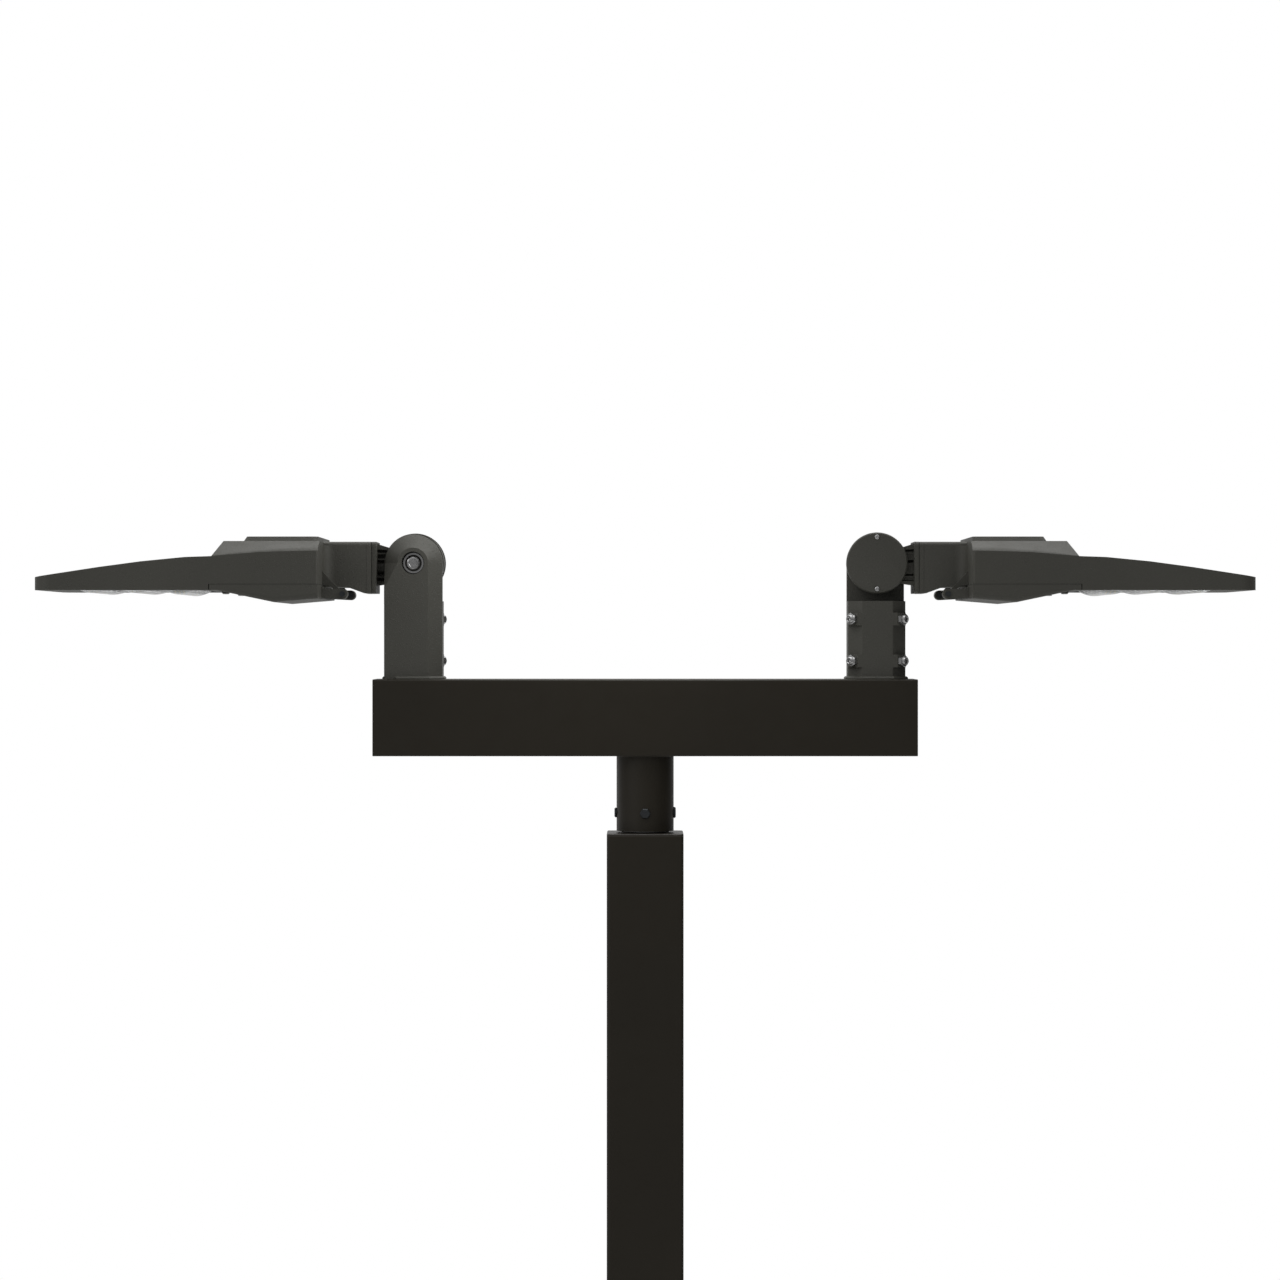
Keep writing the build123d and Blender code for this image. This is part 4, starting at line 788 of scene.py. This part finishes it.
# ---- welds --------------------------------------------------------------------------------------
WELD_STEP = 0.0009
WELD_SIDES = 12
WELD_SEED = 3
WIDE_RIPPLE = 0.0034
FINE_RIPPLE = 0.0024
BASE_WELD_RADIUS = 0.0042
BASE_WELD_OFFSET = 0.0022
BASE_WELD_CORNER = 0.007
CAP_WELD_RADIUS = 0.0016
CAP_WELD_OFFSET = 0.0004
SLEEVE_WELD_RADIUS = 0.0013


def square_path(half, corner, height):
    """Evenly spaced points round a square with rounded corners."""
    straight = 2 * (half - corner)
    arc = math.pi / 2 * corner
    around = 4 * (straight + arc)
    count = int(around / WELD_STEP)
    points = []
    for index in range(count):
        distance = around * index / count
        quarter, along = divmod(distance, straight + arc)
        if along < straight:
            local = Vector((half, -half + corner + along, 0))
        else:
            angle = (along - straight) / corner
            pivot = half - corner
            local = Vector((pivot + corner * math.cos(angle), pivot + corner * math.sin(angle), 0))
        point = Matrix.Rotation(quarter * math.pi / 2, 3, "Z") @ local
        points.append(Vector((point.x, point.y, height)))
    return points


def round_path(radius, height):
    """Evenly spaced points round the pole's axis."""
    count = int(2 * math.pi * radius / WELD_STEP)
    turns = [2 * math.pi * index / count for index in range(count)]
    return [Vector((radius * math.cos(turn), radius * math.sin(turn), height)) for turn in turns]


def weld_bead(name, path, radius, body, material, ripple):
    """A closed bead of filler metal whose overlapping ripples show."""
    chance = random.Random(WELD_SEED)
    data = bmesh.new()
    rows = []
    travelled = 0.0
    swell = chance.random()
    for index, point in enumerate(path):
        ahead = path[(index + 1) % len(path)]
        tangent = (ahead - path[index - 1]).normalized()
        travelled += (point - path[index - 1]).length if index else 0.0
        beat = (travelled / ripple) % 1.0
        swell += (chance.random() - swell) * 0.2
        thickness = radius * (0.88 + 0.14 * math.sqrt(1 - (2 * beat - 1) ** 2) + 0.06 * swell)
        out = tangent.cross(Vector((0, 0, 1)))
        row = []
        for side in range(WELD_SIDES):
            angle = 2 * math.pi * side / WELD_SIDES
            offset = out * (math.cos(angle) * thickness) + Vector((0, 0, math.sin(angle) * thickness))
            row.append(data.verts.new(point + offset))
        rows.append(row)
    for index, row in enumerate(rows):
        ahead = rows[(index + 1) % len(rows)]
        for side in range(WELD_SIDES):
            after = (side + 1) % WELD_SIDES
            data.faces.new((row[side], row[after], ahead[after], ahead[side]))
    return finished(name, data, material, body)


def make_welds():
    """The pole to its base plate, the tenon to the cap, and the sleeve to the crossarm."""
    shaft_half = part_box("pole_cap")[1].x
    plate_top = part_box("base_plate")[1].z
    foot = square_path(shaft_half + BASE_WELD_OFFSET, BASE_WELD_CORNER, plate_top + BASE_WELD_OFFSET)
    weld_bead("base_weld", foot, BASE_WELD_RADIUS, "pole", "pole_paint", WIDE_RIPPLE)
    tenon = round_path(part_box("pole_tenon")[1].x + CAP_WELD_OFFSET, CAP_TOP)
    weld_bead("cap_weld", tenon, CAP_WELD_RADIUS, "pole", "cap_paint", FINE_RIPPLE)
    sleeve = round_path(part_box("bracket_sleeve")[1].x, ARM_BOTTOM)
    weld_bead("sleeve_weld", sleeve, SLEEVE_WELD_RADIUS, "bracket", "pole_paint", FINE_RIPPLE)


# ---- light engine -------------------------------------------------------------------------------
DOWN = Vector((0, 0, -1))
FLATNESS = 0.00002
PAD_PITCHES = 3.2
# Rings of an emitter's package and dome as (radius, height), then the height on the axis, in millimetres.
PACKAGE_RINGS = ((1.95, 0), (1.95, 0.35), (1.75, 0.5), (1.5, 0.5))
PACKAGE_CENTRE = 0.42
DOME_RINGS = ((1.45, 0.4), (1.4, 0.8), (1.1, 1.2), (0.6, 1.45))
DOME_CENTRE = 1.52


def turned(rings, centre):
    """What lathe takes for a round shape closed on its axis."""
    return [round_ring(radius, height) for radius, height in rings] + [centre]


def flat_patches(node, direction):
    """Centre and size of each flat patch at a node's far end in a direction."""
    data = joined_mesh(node)
    level = max(vertex.co.dot(direction) for vertex in data.verts)
    left = {face for face in data.faces
            if all(abs(vertex.co.dot(direction) - level) < FLATNESS for vertex in face.verts)}
    found = []
    while left:
        queue = [left.pop()]
        corners = []
        while queue:
            face = queue.pop()
            corners += [vertex.co.copy() for vertex in face.verts]
            for edge in face.edges:
                for other in edge.link_faces:
                    if other in left:
                        left.remove(other)
                        queue.append(other)
        low, high = box_of(corners)
        found.append(((low + high) / 2, high - low))
    data.free()
    return sorted(found, key=lambda patch: by_place(patch[0]))


def make_lamps(end):
    """Small domed emitters, three by three, on each pad of the LED board."""
    domes, packages = bmesh.new(), bmesh.new()
    for spot, size in flat_patches(f"{end}_led_board", DOWN):
        pitch = size.x / PAD_PITCHES
        for row in (-1, 0, 1):
            for column in (-1, 0, 1):
                matrix = standing(spot + Vector((row * pitch, column * pitch, 0)), DOWN)
                lathe(packages, turned(PACKAGE_RINGS, PACKAGE_CENTRE), matrix, segments=24)
                lathe(domes, turned(DOME_RINGS, DOME_CENTRE), matrix, segments=20)
    finished(f"{end}_led_packages", packages, "label", f"{end}_head")
    finished(f"{end}_led_domes", domes, "phosphor", f"{end}_head")


# ---- driver bay ---------------------------------------------------------------------------------
LABEL_THICKNESS = 0.0002
# How far a label stays in from its device's sides in X and Y, and the radius of its corners.
DRIVER_LABEL = (0.008, 0.045, 0.003)
SURGE_LABEL = (0.004, 0.008, 0.002)
CORNER_STEPS = 6
TERMINALS = 5
TERMINAL_INSET = 0.011
# Rings of a terminal as (radius, height), then the height on the axis, in millimetres.
TERMINAL_RINGS = ((3.4, 0), (3.4, 2.2), (3.0, 2.6), (1.5, 2.6), (1.5, 0.9))
TERMINAL_CENTRE = 0.8


def rounded_slab(data, low, high, radius):
    """A thin slab with rounded corners in plan."""
    centre = (low + high) / 2
    size = high - low
    corners = []
    for side_x, side_y, start in ((1, 1, 0), (-1, 1, 1), (-1, -1, 2), (1, -1, 3)):
        pivot_x = centre.x + side_x * (size.x / 2 - radius)
        pivot_y = centre.y + side_y * (size.y / 2 - radius)
        for step in range(CORNER_STEPS + 1):
            angle = math.pi / 2 * (start + step / CORNER_STEPS)
            turn = Vector((math.cos(angle), math.sin(angle), 0))
            corners.append(Vector((pivot_x, pivot_y, 0)) + turn * radius)
    bottom = [data.verts.new((corner.x, corner.y, low.z)) for corner in corners]
    top = [data.verts.new((corner.x, corner.y, high.z)) for corner in corners]
    data.faces.new(list(reversed(bottom)))
    data.faces.new(top)
    for index in range(len(corners)):
        after = (index + 1) % len(corners)
        data.faces.new((bottom[index], bottom[after], top[after], top[index]))


def make_driver_details(end):
    """Blank labels under the driver and the surge protector, and the driver's two rows of terminals."""
    labels = bmesh.new()
    for device, label in (("led_driver", DRIVER_LABEL), ("surge_protector", SURGE_LABEL)):
        inset_x, inset_y, radius = label
        low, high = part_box(f"{end}_{device}")
        corner_low = Vector((low.x + inset_x, low.y + inset_y, low.z - LABEL_THICKNESS))
        corner_high = Vector((high.x - inset_x, high.y - inset_y, low.z))
        rounded_slab(labels, corner_low, corner_high, radius)
    finished(f"{end}_blank_labels", labels, "label", f"{end}_head", smooth=False)
    terminals = bmesh.new()
    low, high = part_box(f"{end}_led_driver")
    for side in (-1, 1):
        y = middle(f"{end}_led_driver").y + side * ((high.y - low.y) / 2 - TERMINAL_INSET)
        for index in range(TERMINALS):
            x = low.x + (high.x - low.x) * (index + 1) / (TERMINALS + 1)
            lathe(terminals, turned(TERMINAL_RINGS, TERMINAL_CENTRE), standing(Vector((x, y, low.z)), DOWN),
                  segments=20)
    finished(f"{end}_driver_terminals", terminals, "device_plastic", f"{end}_head")


# ---- floor --------------------------------------------------------------------------------------
FLOOR_RADIUS = 7.0


def make_floor():
    """A round floor under the pole."""
    data = bmesh.new()
    lathe(data, [0.0, round_ring(FLOOR_RADIUS / MM, 0.0)], Matrix.Identity(4), segments=128)
    mesh = bpy.data.meshes.new("floor")
    data.to_mesh(mesh)
    data.free()
    mesh.materials.append(studio_floor("floor_look"))
    floor = bpy.data.objects.new("floor", mesh)
    SCENE.collection.objects.link(floor)


# ---- everything, in order -----------------------------------------------------------------------
make_camera()
make_world()
make_lights()
make_floor()
dress_nodes()
make_pole_fasteners()
make_welds()
for end_name in SIDE_OF:
    make_head_fasteners(end_name)
    make_lamps(end_name)
    make_driver_details(end_name)

SCENE.view_settings.view_transform = "Standard"
